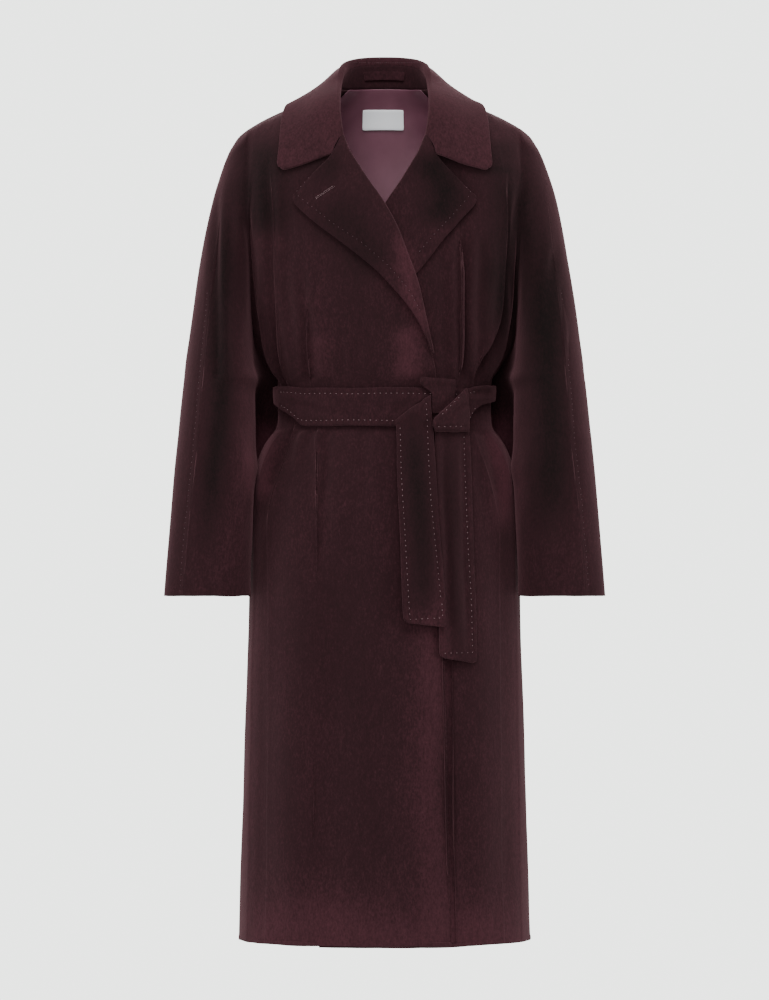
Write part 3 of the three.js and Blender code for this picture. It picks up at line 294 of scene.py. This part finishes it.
def outward(mesh):
    """For each vertex, the direction away from the hollow."""
    normals = values_of(mesh.polygons, "normal", 3)
    inner = values_of(mesh.polygons, "material_index", 1, int) == INNER
    owner = numpy.repeat(numpy.arange(len(mesh.polygons)), values_of(mesh.polygons, "loop_total", 1, int))
    corner = values_of(mesh.loops, "vertex_index", 1, int)
    ways = numpy.zeros((len(mesh.vertices), 3))
    hollow = numpy.zeros((len(mesh.vertices), 3))
    from_inner = inner[owner]
    numpy.add.at(ways, corner[~from_inner], normals[owner[~from_inner]])
    numpy.add.at(hollow, corner[from_inner], -normals[owner[from_inner]])
    lone = numpy.abs(ways).sum(axis=1) < 1e-9
    ways[lone] = hollow[lone]
    return ways / numpy.maximum(numpy.linalg.norm(ways, axis=1, keepdims=True), 1e-9)


def smoothstep(low, high, value):
    t = numpy.clip((value - low) / (high - low), 0, 1)
    return t * t * (3 - 2 * t)


WANDER_STEPS = numpy.linspace(-0.12, 1.12, 24)


def strips(x, z, rows, facing, edge_dip):
    """What all the strips of a table add up to at each point. Each strip runs from x1, z1 to x2, z2,
    bows to one side, has a half width and a height, and wanders a little."""
    total = numpy.zeros(len(x))
    for i, (x1, z1, x2, z2, bow, half, height) in enumerate(rows):
        run_x, run_z = x2 - x1, z2 - z1
        length = math.hypot(run_x, run_z)
        along = ((x - x1) * run_x + (z - z1) * run_z) / length**2
        wander = [noise.noise(Vector((step * 2.5, i * 7.3, facing))) for step in WANDER_STEPS]
        side = ((x - x1) * run_z - (z - z1) * run_x) / length
        side -= 4 * bow * along * (1 - along) + numpy.interp(along, WANDER_STEPS, wander) * half * 0.6
        ends = smoothstep(-0.12, 0.2, along) * (1 - smoothstep(0.8, 1.12, along))
        across = numpy.exp(-((side / half) ** 2))
        if edge_dip:
            across -= edge_dip * numpy.exp(-(((numpy.abs(side) - 1.7 * half) / half) ** 2))
        total += height * ends * across
    return total


# Folds and pleats, the same for every layer on one side of the coat: from x1, z1 to x2, z2, how far
# the line bows, its half width and its height in mm; a trough is less than 0.
FRONT_FOLDS = [
    # x1, z1, x2, z2, bow, half, height
    (-233, -115, -232, -500, 2, 7, -2.6),
    (-224, -150, -220, -430, 2, 7, 2.4),
    (-196, -150, -184, -330, -6, 6, -2.4),
    (-206, -300, -196, -640, 3, 16, 2.6),
    (-238, -470, -240, -690, 4, 14, -2.0),
    (-161, -100, -136, -410, 7, 8, -2.4),
    (-148, -110, -124, -410, 7, 8, 2.2),
    (-113, -240, -102, -420, -2, 8, -2.2),
    (-128, -250, -114, -420, -2, 7, 1.6),
    (-88, -310, -84, -396, -2, 6, 1.6),
    (-60, -330, -58, -396, 0, 6, -1.4),
    (-20, -340, -24, -396, 0, 8, 1.2),
    (-117, -440, -175, -590, 7, 9, -2.8),
    (-136, -446, -190, -590, 6, 11, 2.6),
    (-102, -440, -124, -520, 2, 6, 2.2),
    (-90, -440, -92, -560, 0, 6, 1.6),
    (-80, -440, -80, -600, 1, 8, -1.6),
    (-60, -462, -62, -640, 3, 14, 1.8),
    (-30, -462, -28, -560, 1, 8, -1.4),
    (-160, -600, -168, -1130, 8, 20, -2.6),
    (-118, -600, -124, -1150, -8, 24, 2.8),
    (-62, -680, -68, -1150, 8, 26, -2.2),
    (-8, -620, -8, -1150, 6, 26, 1.8),
    (48, -600, 66, -1150, -3, 18, 2.6),
    (234, -220, 221, -390, 3, 8, -3.0),
    (224, -200, 212, -420, -4, 8, 2.6),
    (190, -120, 178, -300, 6, 7, -2.8),
    (206, -300, 198, -640, -3, 16, 2.6),
    (240, -420, 244, -690, -4, 14, -2.2),
    (109, -180, 109, -410, 2, 7, -2.6),
    (95, -190, 98, -410, 2, 8, 1.8),
    (122, -190, 123, -410, 2, 7, 2.6),
    (136, -200, 131, -410, 2, 8, -2.2),
    (150, -210, 141, -400, 3, 9, 2.0),
    (126, -424, 162, -570, -5, 9, -2.4),
    (142, -432, 178, -570, -6, 9, 3.0),
    (110, -430, 122, -580, -3, 8, 2.0),
    (96, -462, 100, -700, -2, 8, -1.4),
    (160, -600, 168, -1130, -8, 20, -2.6),
    (124, -640, 130, -1150, 8, 22, 2.4),
]
BACK_FOLDS = [
    # x1, z1, x2, z2, bow, half, height
    (-20, -330, -24, -396, 1, 6, -3.0),
    (-46, -290, -50, -396, 2, 7, 3.0),
    (-74, -320, -72, -396, -2, 6, -3.0),
    (-104, -280, -98, -396, -4, 8, 3.2),
    (-130, -250, -118, -392, -6, 6, -3.2),
    (-162, -200, -146, -380, -10, 10, 3.4),
    (-186, -150, -176, -360, -6, 8, -3.0),
    (-30, -462, -26, -580, 2, 7, 2.6),
    (-58, -462, -62, -600, -2, 7, -2.8),
    (-88, -462, -98, -590, -3, 8, 3.0),
    (-112, -462, -128, -560, 4, 6, -3.0),
    (-60, -620, -66, -1150, 8, 28, 3.6),
    (-120, -600, -130, -1150, -8, 26, -3.6),
    (-222, -160, -214, -440, 5, 8, -3.0),
    (-206, -400, -214, -600, 4, 9, 2.8),
    (-250, -330, -246, -560, -5, 9, -2.6),
    (-236, -520, -250, -690, 3, 12, 2.4),
    (26, -310, 22, -396, 1, 6, 2.8),
    (50, -330, 52, -396, -2, 6, -3.0),
    (82, -270, 76, -396, 3, 8, 3.0),
    (108, -300, 100, -396, 4, 6, -3.2),
    (136, -240, 124, -390, 6, 8, 3.2),
    (168, -210, 150, -370, 10, 9, -2.8),
    (192, -140, 180, -350, 6, 9, 3.0),
    (22, -462, 24, -600, 2, 7, -2.8),
    (52, -462, 58, -570, -2, 8, 3.0),
    (82, -462, 92, -610, 3, 7, -3.0),
    (116, -462, 130, -560, -4, 7, 2.8),
    (70, -600, 78, -1150, -8, 28, -3.6),
    (128, -640, 136, -1150, 8, 26, 3.4),
    (230, -170, 218, -420, -5, 9, 3.0),
    (208, -380, 214, -600, -4, 8, -2.8),
    (252, -300, 246, -560, 5, 9, -2.6),
    (238, -540, 250, -690, -3, 12, 2.4),
]
# Painted light and shade, laid together with the pile's lie: where the cloth looks darker, less than 0, or
# lighter. The yoke, the lapels and the upper sleeves, which face the front, are painted darker, the hollows
# under the collar's and the lapels' tips hold painted shadow, and the hips below the belt, the front edge
# below the lapels and the hem carry painted light.
FRONT_NAP_AND_PAINTED_LIGHT = [
    # x1, z1, x2, z2, bow, half, change
    (-226, -150, -240, -600, -3, 16, -0.40),
    (-248, -225, -288, -690, 0, 12, -0.06),
    (-196, -300, -200, -640, 0, 20, 0.08),
    (-172, -60, -170, -190, 0, 36, -0.40),
    (-118, -60, -60, -110, 0, 22, -0.20),
    (-90, -160, 0, -240, 0, 34, -0.22),
    (14, -195, 56, -330, -3, 14, 0.22),
    (78, -80, 78, -180, 0, 26, -0.42),
    (150, -60, 150, -110, 0, 30, -0.22),
    (184, -90, 176, -340, 0, 34, -0.36),
    (150, -230, 166, -340, 0, 16, -0.10),
    (236, -200, 222, -590, -3, 26, -0.42),
    (30, -320, 34, -395, 0, 20, 0.26),
    (-90, -330, -90, -390, 0, 20, 0.10),
    (-168, -450, -176, -560, 0, 18, 0.34),
    (160, -440, 176, -600, 0, 18, 0.34),
    (60, -640, 66, -1150, 0, 26, 0.16),
    (-230, -1165, 230, -1165, 0, 60, 0.20),
    (40, -460, 56, -720, 0, 16, -0.34),
    (92, -470, 100, -770, 0, 12, -0.16),
    (-190, -620, -196, -1130, 0, 14, 0.06),
    (186, -620, 196, -1130, 0, 12, 0.10),
    (-50, -620, -60, -1000, 0, 60, -0.03),
]
# Painted shade and painted light on the back in the same way: darker shoulders and sleeves, lighter hips,
# sides and hem.
BACK_NAP_AND_PAINTED_LIGHT = [
    # x1, z1, x2, z2, bow, half, change
    (-170, -40, -176, -300, 0, 36, -0.24),
    (170, -40, 172, -320, 0, 34, -0.22),
    (-232, -220, -236, -590, 3, 24, -0.24),
    (228, -200, 238, -600, -3, 24, -0.26),
    (0, -120, 0, -380, 0, 40, 0.05),
    (-168, -460, -172, -580, 0, 20, 0.16),
    (166, -460, 172, -600, 0, 20, 0.16),
    (-230, -1165, 230, -1165, 0, 60, 0.20),
    (-190, -620, -196, -1130, 0, 14, 0.12),
    (190, -620, 196, -1130, 0, 14, 0.12),
]
BELT_TOP, BELT_LOW = -398, -460  # the folds are pressed flat under the belt
DRIFT_MM = 0.7  # how far the cloth is off its even form between the folds
# The slack cloth of each sleeve falls against the body above and below the belt.
SLEEVE_INSIDE = 135
SLACK = [
    # height, half height, move
    (-391, 12, 4.5),
    (-515, 18, 3.5),
]


def drape(piece, rows_front=FRONT_FOLDS, rows_back=BACK_FOLDS, pressed=True):
    """Moves the cloth out at ridges and in at troughs, and lays its pile's tones together with painted light
    and shade.
    """
    places = values_of(piece.data.vertices, "co", 3)
    ways = outward(piece.data)
    x, z = places[:, 0] / MM, places[:, 2] / MM
    nap_and_painted_light_tones = numpy.full(len(places), NEUTRAL)
    move = numpy.zeros(len(places))
    for facing, rows, nap_and_painted_light_rows in ((-1, rows_front, FRONT_NAP_AND_PAINTED_LIGHT), (1, rows_back, BACK_NAP_AND_PAINTED_LIGHT)):
        seen = smoothstep(0.05, 0.5, ways[:, 1] * facing)
        # Painted light and shade, together with the pile's lie.
        nap_and_painted_light_tones += seen * strips(x, z, nap_and_painted_light_rows, facing, 0)
        move += seen * strips(x, z, rows, facing, 0.35)
    free = smoothstep(0, 9, numpy.maximum(z - BELT_TOP, BELT_LOW - z)) if pressed else 1.0
    y = places[:, 1] / MM
    if pressed:
        inside = smoothstep(0.2, 0.7, -ways[:, 0] * numpy.sign(x)) * (numpy.abs(x) > SLEEVE_INSIDE)
        slack = sum(out * numpy.exp(-(((z - height) / half) ** 2)) for height, half, out in SLACK)
        places[:, 0] += ways[:, 0] * inside * slack * MM
    drift = numpy.sin(x / 23 + z / 71 + 1.7 * numpy.sin(y / 31)) * numpy.sin(z / 57 - x / 83 + y / 29)
    places += ways * (free * (move + DRIFT_MM * drift) * MM)[:, None]
    piece.data.vertices.foreach_set("co", places.ravel())
    lay_nap_and_painted_light(piece, nap_and_painted_light_tones)


def lay_nap_and_painted_light(piece, nap_and_painted_light_tones):
    """Keeps each vertex's tone, painted light and shade together with the pile's lie, for the wool material.
    """
    nap_and_painted_light = piece.data.attributes.get("nap_and_painted_light") or piece.data.attributes.new("nap_and_painted_light", "FLOAT", "POINT")
    nap_and_painted_light.data.foreach_set("value", nap_and_painted_light_tones)


def one_material(piece, material):
    """One finish all over, smooth shading, and the record's slot."""
    if "nap_and_painted_light" not in piece.data.attributes:
        lay_nap_and_painted_light(piece, [NEUTRAL] * len(piece.data.vertices))
    piece.data.materials.clear()
    piece.data.materials.append(material)
    piece.data.polygons.foreach_set("material_index", [0] * len(piece.data.polygons))
    piece.data.polygons.foreach_set("use_smooth", [True] * len(piece.data.polygons))


body_wool = wool("brushed_wool_coating")
RINGS = (-1163, -1000, -685)  # heights cut in, so that the form holds by the hem and the cuffs
PANEL_AREA = {
    # panel: width, length, area of its cut, in metres
    "front_right": (0.72, 1.19, 0.45),
    "front_left": (0.72, 1.19, 0.45),
    "back_right": (0.62, 1.22, 0.42),
    "back_left": (0.62, 1.22, 0.42),
}
panels = {}
for panel, (width, length, area) in PANEL_AREA.items():
    cloth = dress(panel, 2.6, rim_angle=35, arm=True, cuts=RINGS)
    drape(cloth)
    one_material(cloth, body_wool)
    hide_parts(panel)
    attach(cloth, "root")
    panels[panel] = cloth


# Lapels: the fronts turned out at the roll line, two layers, with rounded tips.
def round_tip(piece, pull, edges, radius):
    """Rounds a corner, seen from the front. pull points from the cloth to the corner, and edges are
    the ways along its two sides from the corner, all as x and z."""
    pull = Vector(pull).normalized()
    first, second = (Vector(edge).normalized() for edge in edges)
    flat = [Vector((vert.co.x, vert.co.z)) for vert in piece.data.vertices]
    corner = max(flat, key=lambda point: point.dot(pull))
    half_angle = first.angle(second) / 2
    middle = corner + (first + second).normalized() * (radius * MM / math.sin(half_angle))
    normals = []
    for edge, other in ((first, second), (second, first)):
        normal = edge * edge.dot(other) - other
        normals.append(normal.normalized())
    out = (corner - middle).normalized()
    for vert, point in zip(piece.data.vertices, flat):
        arm = point - middle
        if arm.length < 1e-6 or arm.dot(corner - middle) <= 0:
            continue
        way = arm.normalized()
        reach = max(way.dot(normal) for normal in normals)
        if reach >= 1 or way.dot(out) < normals[0].dot(out):
            continue
        edge_at = radius * MM / reach
        share = min(1.0, arm.length / edge_at) ** 2
        moved = middle + arm * (1 + (reach - 1) * share)
        vert.co.x, vert.co.z = moved


facing_wool = wool("brushed_wool_facing")
LAPELS = {
    # panel: width, length, area, tip's pull, tip's two sides
    "lapel_right": (0.19, 0.36, 0.027, (-1, 0), ((0.71, 0.70), (0.73, -0.68))),
    "lapel_left": (0.19, 0.36, 0.031, (1, 0), ((-0.71, 0.70), (-0.65, -0.76))),
}
LAPEL_TIP = 7
lapels = {}
for panel, (width, length, area, pull, sides) in LAPELS.items():
    cloth = dress(panel, 4.4)
    round_tip(cloth, pull, sides, LAPEL_TIP)
    drape(cloth)
    one_material(cloth, facing_wool)
    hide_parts(panel)
    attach(cloth, "root")
    lapels[panel] = cloth


# Collar and its stand: two layers of the same wool, rolled over at the top and sewn to the neck edge.
# The hanger loop is a narrow strip of it on the stand.
collar = dress("collar", 4.4)
COLLAR_TIP = 9
round_tip(collar, (-1, -1.2), ((0.11, 0.99), (0.95, 0.32)), COLLAR_TIP)
round_tip(collar, (1, -1.2), ((-0.19, 0.98), (-0.98, 0.18)), COLLAR_TIP)
# Painted light: the collar's wool is made lighter, as the collar tilts up towards the light from above.
collar_wool_painted_lighter = wool("brushed_wool_collar_painted_lighter", 0.12)
one_material(collar, collar_wool_painted_lighter)
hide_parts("collar")
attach(collar, "root")
stand = dress("collar_stand", 3.2, levels=2)
# Painted shade: the stand's wool is made a little darker.
stand_wool_painted_darker = wool("brushed_wool_stand_painted_darker", -0.03)
one_material(stand, stand_wool_painted_darker)
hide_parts("collar_stand")
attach(stand, "root")
loop = dress("hanger_loop", 1.4)
# Painted light: the hanger loop's wool is made a little lighter.
one_material(loop, wool("brushed_wool_loop_painted_lighter", 0.06))
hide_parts("hanger_loop")
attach(loop, "root")


# Lining: rose plum satin inside the back, and a blank woven ribbon label sewn to it.
def satin(name, code, light, gloss, sheen):
    """A smooth satin: fine threads down the cloth and faint soft clouds."""
    material = bpy.data.materials.new(name)
    material.use_nodes = True
    tree = material.node_tree
    shader = tree.nodes["Principled BSDF"]
    place = add_node(tree, "ShaderNodeTexCoord").outputs["Object"]
    threads = add_node(tree, "ShaderNodeMapping", {"Vector": place, "Scale": (1, 1, 0.12)}).outputs[0]
    weave = add_node(
        tree, "ShaderNodeTexNoise", {"Vector": threads, "Scale": 1 / (1.4 * MM), "Detail": 2.0}
    ).outputs["Fac"]
    clouds = add_node(
        tree, "ShaderNodeTexNoise", {"Vector": place, "Scale": 1 / (28 * MM), "Detail": 2.0}
    ).outputs["Fac"]
    mix = add_node(
        tree, "ShaderNodeMix", {"Factor": clouds, "A": colour(code), "B": colour(light)}, data_type="RGBA"
    )
    tree.links.new(mix.outputs["Result"], shader.inputs["Base Color"])
    bump = add_node(tree, "ShaderNodeBump", {"Height": weave, "Strength": 0.2, "Distance": 0.0004})
    tree.links.new(bump.outputs[0], shader.inputs["Normal"])
    shader.inputs["Roughness"].default_value = gloss
    shader.inputs["Sheen Weight"].default_value = sheen
    shader.inputs["Sheen Tint"].default_value = colour(light)
    return material


lining = dress("lining_back", 0.8, levels=2)
one_material(lining, satin("plum_satin_lining", "#5c3442", "#744757", 0.5, 0.3))
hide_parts("lining_back")
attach(lining, "root")
label = dress("label", 0.5, levels=2)
one_material(label, satin("white_satin_ribbon", "#f1f2f8", "#fbfbfe", 0.4, 0.1))
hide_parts("label")
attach(label, "root")


# Belt: a long strip of two layers, wrapped round the waist and tied left of the centre. It is creased
# narrow at both sides. One end turns down out of it in front, the other hangs under the knot's loop.
belt_wool = wool("brushed_wool_belt")
BELT_FOLDS = [
    # x1, z1, x2, z2, bow, half, height
    (-140, -410, -60, -436, 4, 6, 1.4),
    (-120, -425, -20, -448, 3, 6, -1.2),
    (-60, -414, 20, -424, 2, 8, 1.0),
    (14, -452, 62, -416, 0, 6, 2.2),
    (36, -470, 52, -420, 0, 5, -1.6),
    (62, -430, 66, -720, 0, 4, 1.2),
    (36, -480, 48, -700, 3, 12, -1.0),
    (84, -470, 92, -770, 3, 5, -2.2),
    (96, -470, 104, -770, 2, 6, 1.6),
    (108, -470, 116, -770, 1, 4, -1.6),
    (76, -446, 112, -414, 0, 4, 1.8),
    (80, -456, 114, -428, -2, 5, -2.4),
    (120, -404, 150, -400, 0, 4, 1.2),
    (120, -414, 150, -410, 0, 4, -1.4),
]
BELT_CUT = {
    # node: width, length, how it is held, thickness in mm
    "belt_waist": (0.058, 0.83, "folded", 4.4),
    "belt_end_front": (0.056, 0.333, "hung", 4.4),
    "belt_end_under": (0.05, 0.34, "hung", 4.4),
    "belt_knot": (0.052, 0.075, "folded", 4.4),
    "belt_knot_cap": (0.049, 0.05, "folded", 2.6),
}
belt = {}
for panel, (width, length, held, thick) in BELT_CUT.items():
    cloth = dress(panel, thick)
    if "end" in panel:
        round_tip(cloth, (-1, -1.4), ((0, 1), (1, 0)), 7)
        round_tip(cloth, (1, -1.4), ((0, 1), (-1, 0)), 7)
    drape(cloth, BELT_FOLDS, (), pressed=False)
    one_material(cloth, belt_wool)
    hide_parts(panel)
    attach(cloth, "root")
    belt[panel] = cloth


# Pick stitches: thread that shows as one short stitch about every 8 mm, set 8 to 11 mm inside the edges
# of the belt and the lapels, in a shallow groove. On the lapels it is nearly as dark as the wool.
THREAD = "#6e5458"
FAINT_THREAD = "#3f262c"
PICK_PITCH = 7.8
PICK_LENGTH = 1.7
PICK_RADIUS = 0.34
GROOVE_DEPTH = 0.9
GROOVE_HALF = 2.2


def sewing_thread(name, code, light):
    """Spun polyester thread, a little shiny, with its twist as a fine bump."""
    material = bpy.data.materials.new(name)
    material.use_nodes = True
    tree = material.node_tree
    shader = tree.nodes["Principled BSDF"]
    place = add_node(tree, "ShaderNodeTexCoord").outputs["Object"]
    twist = add_node(tree, "ShaderNodeTexNoise", {"Vector": place, "Scale": 1 / (0.5 * MM)}).outputs["Fac"]
    shades = add_node(
        tree, "ShaderNodeMix",
        {"Factor": twist, "A": colour(code), "B": colour(light)}, data_type="RGBA",
    )
    tree.links.new(shades.outputs["Result"], shader.inputs["Base Color"])
    bump = add_node(tree, "ShaderNodeBump", {"Height": twist, "Strength": 0.3, "Distance": 0.0002})
    tree.links.new(bump.outputs[0], shader.inputs["Normal"])
    shader.inputs["Roughness"].default_value = 0.55
    return material


def tree_of(piece):
    """The piece's surface, ready for rays."""
    return BVHTree.FromPolygons(
        [vert.co for vert in piece.data.vertices], [polygon.vertices for polygon in piece.data.polygons]
    )


def evenly(points, step):
    """Points at even steps along a line through the given ones, all in mm."""
    line, gone = [], 0.0
    for start, end in zip(points, points[1:]):
        start, end = Vector(start), Vector(end)
        length = (end - start).length
        while gone <= length:
            line.append(start.lerp(end, gone / length))
            gone += step
        gone -= length
    return line


def seen_from_front(piece_tree, points, step, way=1, start=-400):
    """Where the line lies on the cloth, seen along Y: place and normal of each point."""
    found = []
    for x, z in evenly(points, step):
        place, normal, _, _ = piece_tree.ray_cast(Vector((x, start, z)) * MM, Vector((0, way, 0)))
        if place:
            found.append((place, normal))
    return found


def press_groove(piece, lines):
    """Presses a shallow groove into the cloth along the stitch lines."""
    places = [place for line in lines for place, _ in line]
    near = KDTree(len(places))
    for i, place in enumerate(places):
        near.insert(place, i)
    near.balance()
    places = values_of(piece.data.vertices, "co", 3)
    away = numpy.array([near.find(place)[2] for place in places]) / (GROOVE_HALF * MM)
    depth = GROOVE_DEPTH * MM * numpy.exp(-(away**2))
    places -= values_of(piece.data.vertices, "normal", 3) * depth[:, None]
    piece.data.vertices.foreach_set("co", places.ravel())


def sew(name, lines, material, pitch=PICK_PITCH, length=PICK_LENGTH, radius=PICK_RADIUS, sink=0.5):
    """One short stitch at every pitch along each line, which has a point every millimetre."""
    chance = random.Random(len(name))
    grain = bmesh.new()
    bmesh.ops.create_uvsphere(grain, u_segments=6, v_segments=5, radius=1)
    corners = [vert.co.copy() for vert in grain.verts]
    sides = [[vert.index for vert in face.verts] for face in grain.faces]
    grain.free()
    points, faces = [], []
    for line in lines:
        at = pitch / 2
        while at < len(line) - 1:
            i = int(at)
            place, normal = line[i]
            way = (line[min(i + 2, len(line) - 1)][0] - line[max(i - 2, 0)][0]).normalized()
            across = normal.cross(way).normalized()
            up = way.cross(across)
            turn = Matrix((way, across, up)).transposed()
            half = Vector((length / 2 * chance.uniform(0.85, 1.1), radius, radius)) * MM
            middle = place - normal * (sink - radius * 0.6) * MM
            first = len(points)
            points += [middle + turn @ (corner * half) for corner in corners]
            faces += [[first + index for index in side] for side in sides]
            at += pitch + chance.uniform(-0.4, 0.4)
    stitches = bpy.data.objects.new(name, bpy.data.meshes.new(name))
    stitches.data.from_pydata(points, [], faces)
    for polygon in stitches.data.polygons:
        polygon.use_smooth = True
    bpy.context.scene.collection.objects.link(stitches)
    stitches.data.materials.append(material)
    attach(stitches, "root")
    return stitches


BELT_BIN = 3  # degrees between the places where the belt's edges are measured


def wrap(angle):
    """A whole angle in degrees, brought to at least -180 and under 180."""
    return int((angle + 180) % 360 - 180) or 0


def belt_edges(piece, inset, least):
    """Lines that run round the belt, inset from its upper and lower edges, where it is wide enough."""
    bins = {}
    for vert in piece.data.vertices:
        turn = round(math.degrees(math.atan2(vert.co.x, -vert.co.y)) / BELT_BIN) * BELT_BIN
        low, high = bins.get(turn, (9, -9))
        bins[turn] = (min(low, vert.co.z), max(high, vert.co.z))
    piece_tree = tree_of(piece)
    lines = []
    for upper in (True, False):
        line = []
        for tenth in range(-1800, 1800, 4):
            angle = tenth / 10
            turn, rest = divmod(angle, BELT_BIN)
            first, second = bins[wrap(turn * BELT_BIN)], bins[wrap(turn * BELT_BIN + BELT_BIN)]
            low = first[0] + (second[0] - first[0]) * rest / BELT_BIN
            high = first[1] + (second[1] - first[1]) * rest / BELT_BIN
            if high - low < least * MM:
                if len(line) > 20:
                    lines.append(line)
                line = []
                continue
            z = high - inset * MM if upper else low + inset * MM
            way = Vector((math.sin(math.radians(angle)), -math.cos(math.radians(angle)), 0))
            place, normal, _, _ = piece_tree.ray_cast(Vector((0, 0, z)) + way * 0.3, -way)
            if place:
                line.append((place, normal))
        if len(line) > 20:
            lines.append(line)
    return [dense(line) for line in lines]


def dense(line):
    """The same line with a point every millimetre."""
    made, gone = [], 0.0
    for (a, n), (b, m) in zip(line, line[1:]):
        length = (b - a).length / MM
        while gone <= length:
            share = gone / max(length, 1e-6)
            made.append((a.lerp(b, share), n.lerp(m, share).normalized()))
            gone += 1.0
        gone -= length
    return made


thread = sewing_thread("pale_plum_thread", THREAD, "#93797d")
faint_thread = sewing_thread("plum_thread", FAINT_THREAD, "#51353c")
belt_lines = belt_edges(belt["belt_waist"], inset=8, least=34)
press_groove(belt["belt_waist"], belt_lines)
sew("belt_pick_stitches", belt_lines, thread)
END_LINES = {
    # node: lines in x, z, as seen from the front, in mm
    "belt_end_front": [
        [(21.5, -458), (23, -520), (29, -620), (33.5, -700), (35, -724), (80, -722), (79, -700)],
        [(57.5, -424), (59, -450), (60.5, -500), (64, -560), (72, -640), (78, -700)],
    ],
    "belt_end_under": [
        [(110, -470), (111, -520), (115, -620), (120, -700), (121.5, -770), (80, -771)],
    ],
    "belt_knot": [
        [(72, -459), (111, -458)],
        [(78, -443), (106, -415)],
    ],
}
for panel, rows in END_LINES.items():
    cloth_tree = tree_of(belt[panel])
    lines = [seen_from_front(cloth_tree, row, 1) for row in rows]
    press_groove(belt[panel], lines)
    sew(panel + "_stitches", lines, thread)
LAPEL_LINES = {
    "lapel_right": [
        (-77, -84), (-122, -134), (-119, -140), (-72, -178), (-30, -206), (4, -236), (32, -268), (50, -300),
    ],
    "lapel_left": [(76, -85), (119, -134), (116, -141), (94, -166), (66, -196), (46, -220)],
}
for panel, row in LAPEL_LINES.items():
    lines = [seen_from_front(tree_of(lapels[panel]), row, 1)]
    press_groove(lapels[panel], lines)
    sew(panel + "_stitches", lines, faint_thread, length=1.8, radius=0.34)


# Overarm seams: each back's stitch line runs 5 mm beside the seam, on the outer side of the sleeve.
SEAM_TOP, SEAM_LOW, SEAM_STEP = -270, -692, 6
SEAM_FROM, SEARCH_STEP, SEARCHES = 225, 0.5, 160


def seam_line(side, front_tree, back_tree, inset):
    """Down the sleeve, beside the place where the front's cloth gives way to the back's."""
    points = []
    for z in range(SEAM_TOP, SEAM_LOW, -SEAM_STEP):
        for step in range(SEARCHES):
            x = side * (SEAM_FROM + step * SEARCH_STEP)
            ray = Vector((x, -400, z)) * MM
            front = front_tree.ray_cast(ray, Vector((0, 1, 0)))[0]
            back = back_tree.ray_cast(ray, Vector((0, 1, 0)))[0]
            if back and (front is None or back.y < front.y):
                points.append((x + side * inset, z))
                break
    return points


SIDES = (("right", -1), ("left", 1))
for name, side in SIDES:
    front_tree, back_tree = tree_of(panels["front_" + name]), tree_of(panels["back_" + name])
    row = seam_line(side, front_tree, back_tree, inset=5)
    lines = [seen_from_front(back_tree, row, 1)]
    press_groove(panels["back_" + name], lines)
    sew("overarm_stitches_" + name, lines, faint_thread, length=1.8, radius=0.3)


# Stand seam: fine close stitches along the top of the stand.
stand_line = seen_from_front(tree_of(collar), [(-52, 57), (0, 57.5), (52, 57)], 1, start=0)
sew("stand_stitches", [stand_line], faint_thread, pitch=3.0, length=2.2, radius=0.22, sink=0.1)


# Buttonhole: a slot in the right lapel, which shows as a groove, worked over with pale thread and barred
# at both ends.
SLOT = ((-94.5, -143.2), (-69.7, -126.7))
lapel_tree = tree_of(lapels["lapel_right"])
slot_line = seen_from_front(lapel_tree, SLOT, 1)
press_groove(lapels["lapel_right"], [slot_line])
along = Vector((SLOT[1][0] - SLOT[0][0], SLOT[1][1] - SLOT[0][1])).normalized()
beside = Vector((-along.y, along.x))
rows = []
for shift in (-0.9, 0.9):
    row = [tuple(Vector(point) + beside * shift) for point in SLOT]
    rows.append(seen_from_front(lapel_tree, row, 1))
for end in SLOT:
    row = [tuple(Vector(end) + beside * shift) for shift in (-1.8, 1.8)]
    rows.append(seen_from_front(lapel_tree, row, 1))
sew("buttonhole_stitches", rows, thread, pitch=1.5, length=1.4, radius=0.2, sink=0.6)
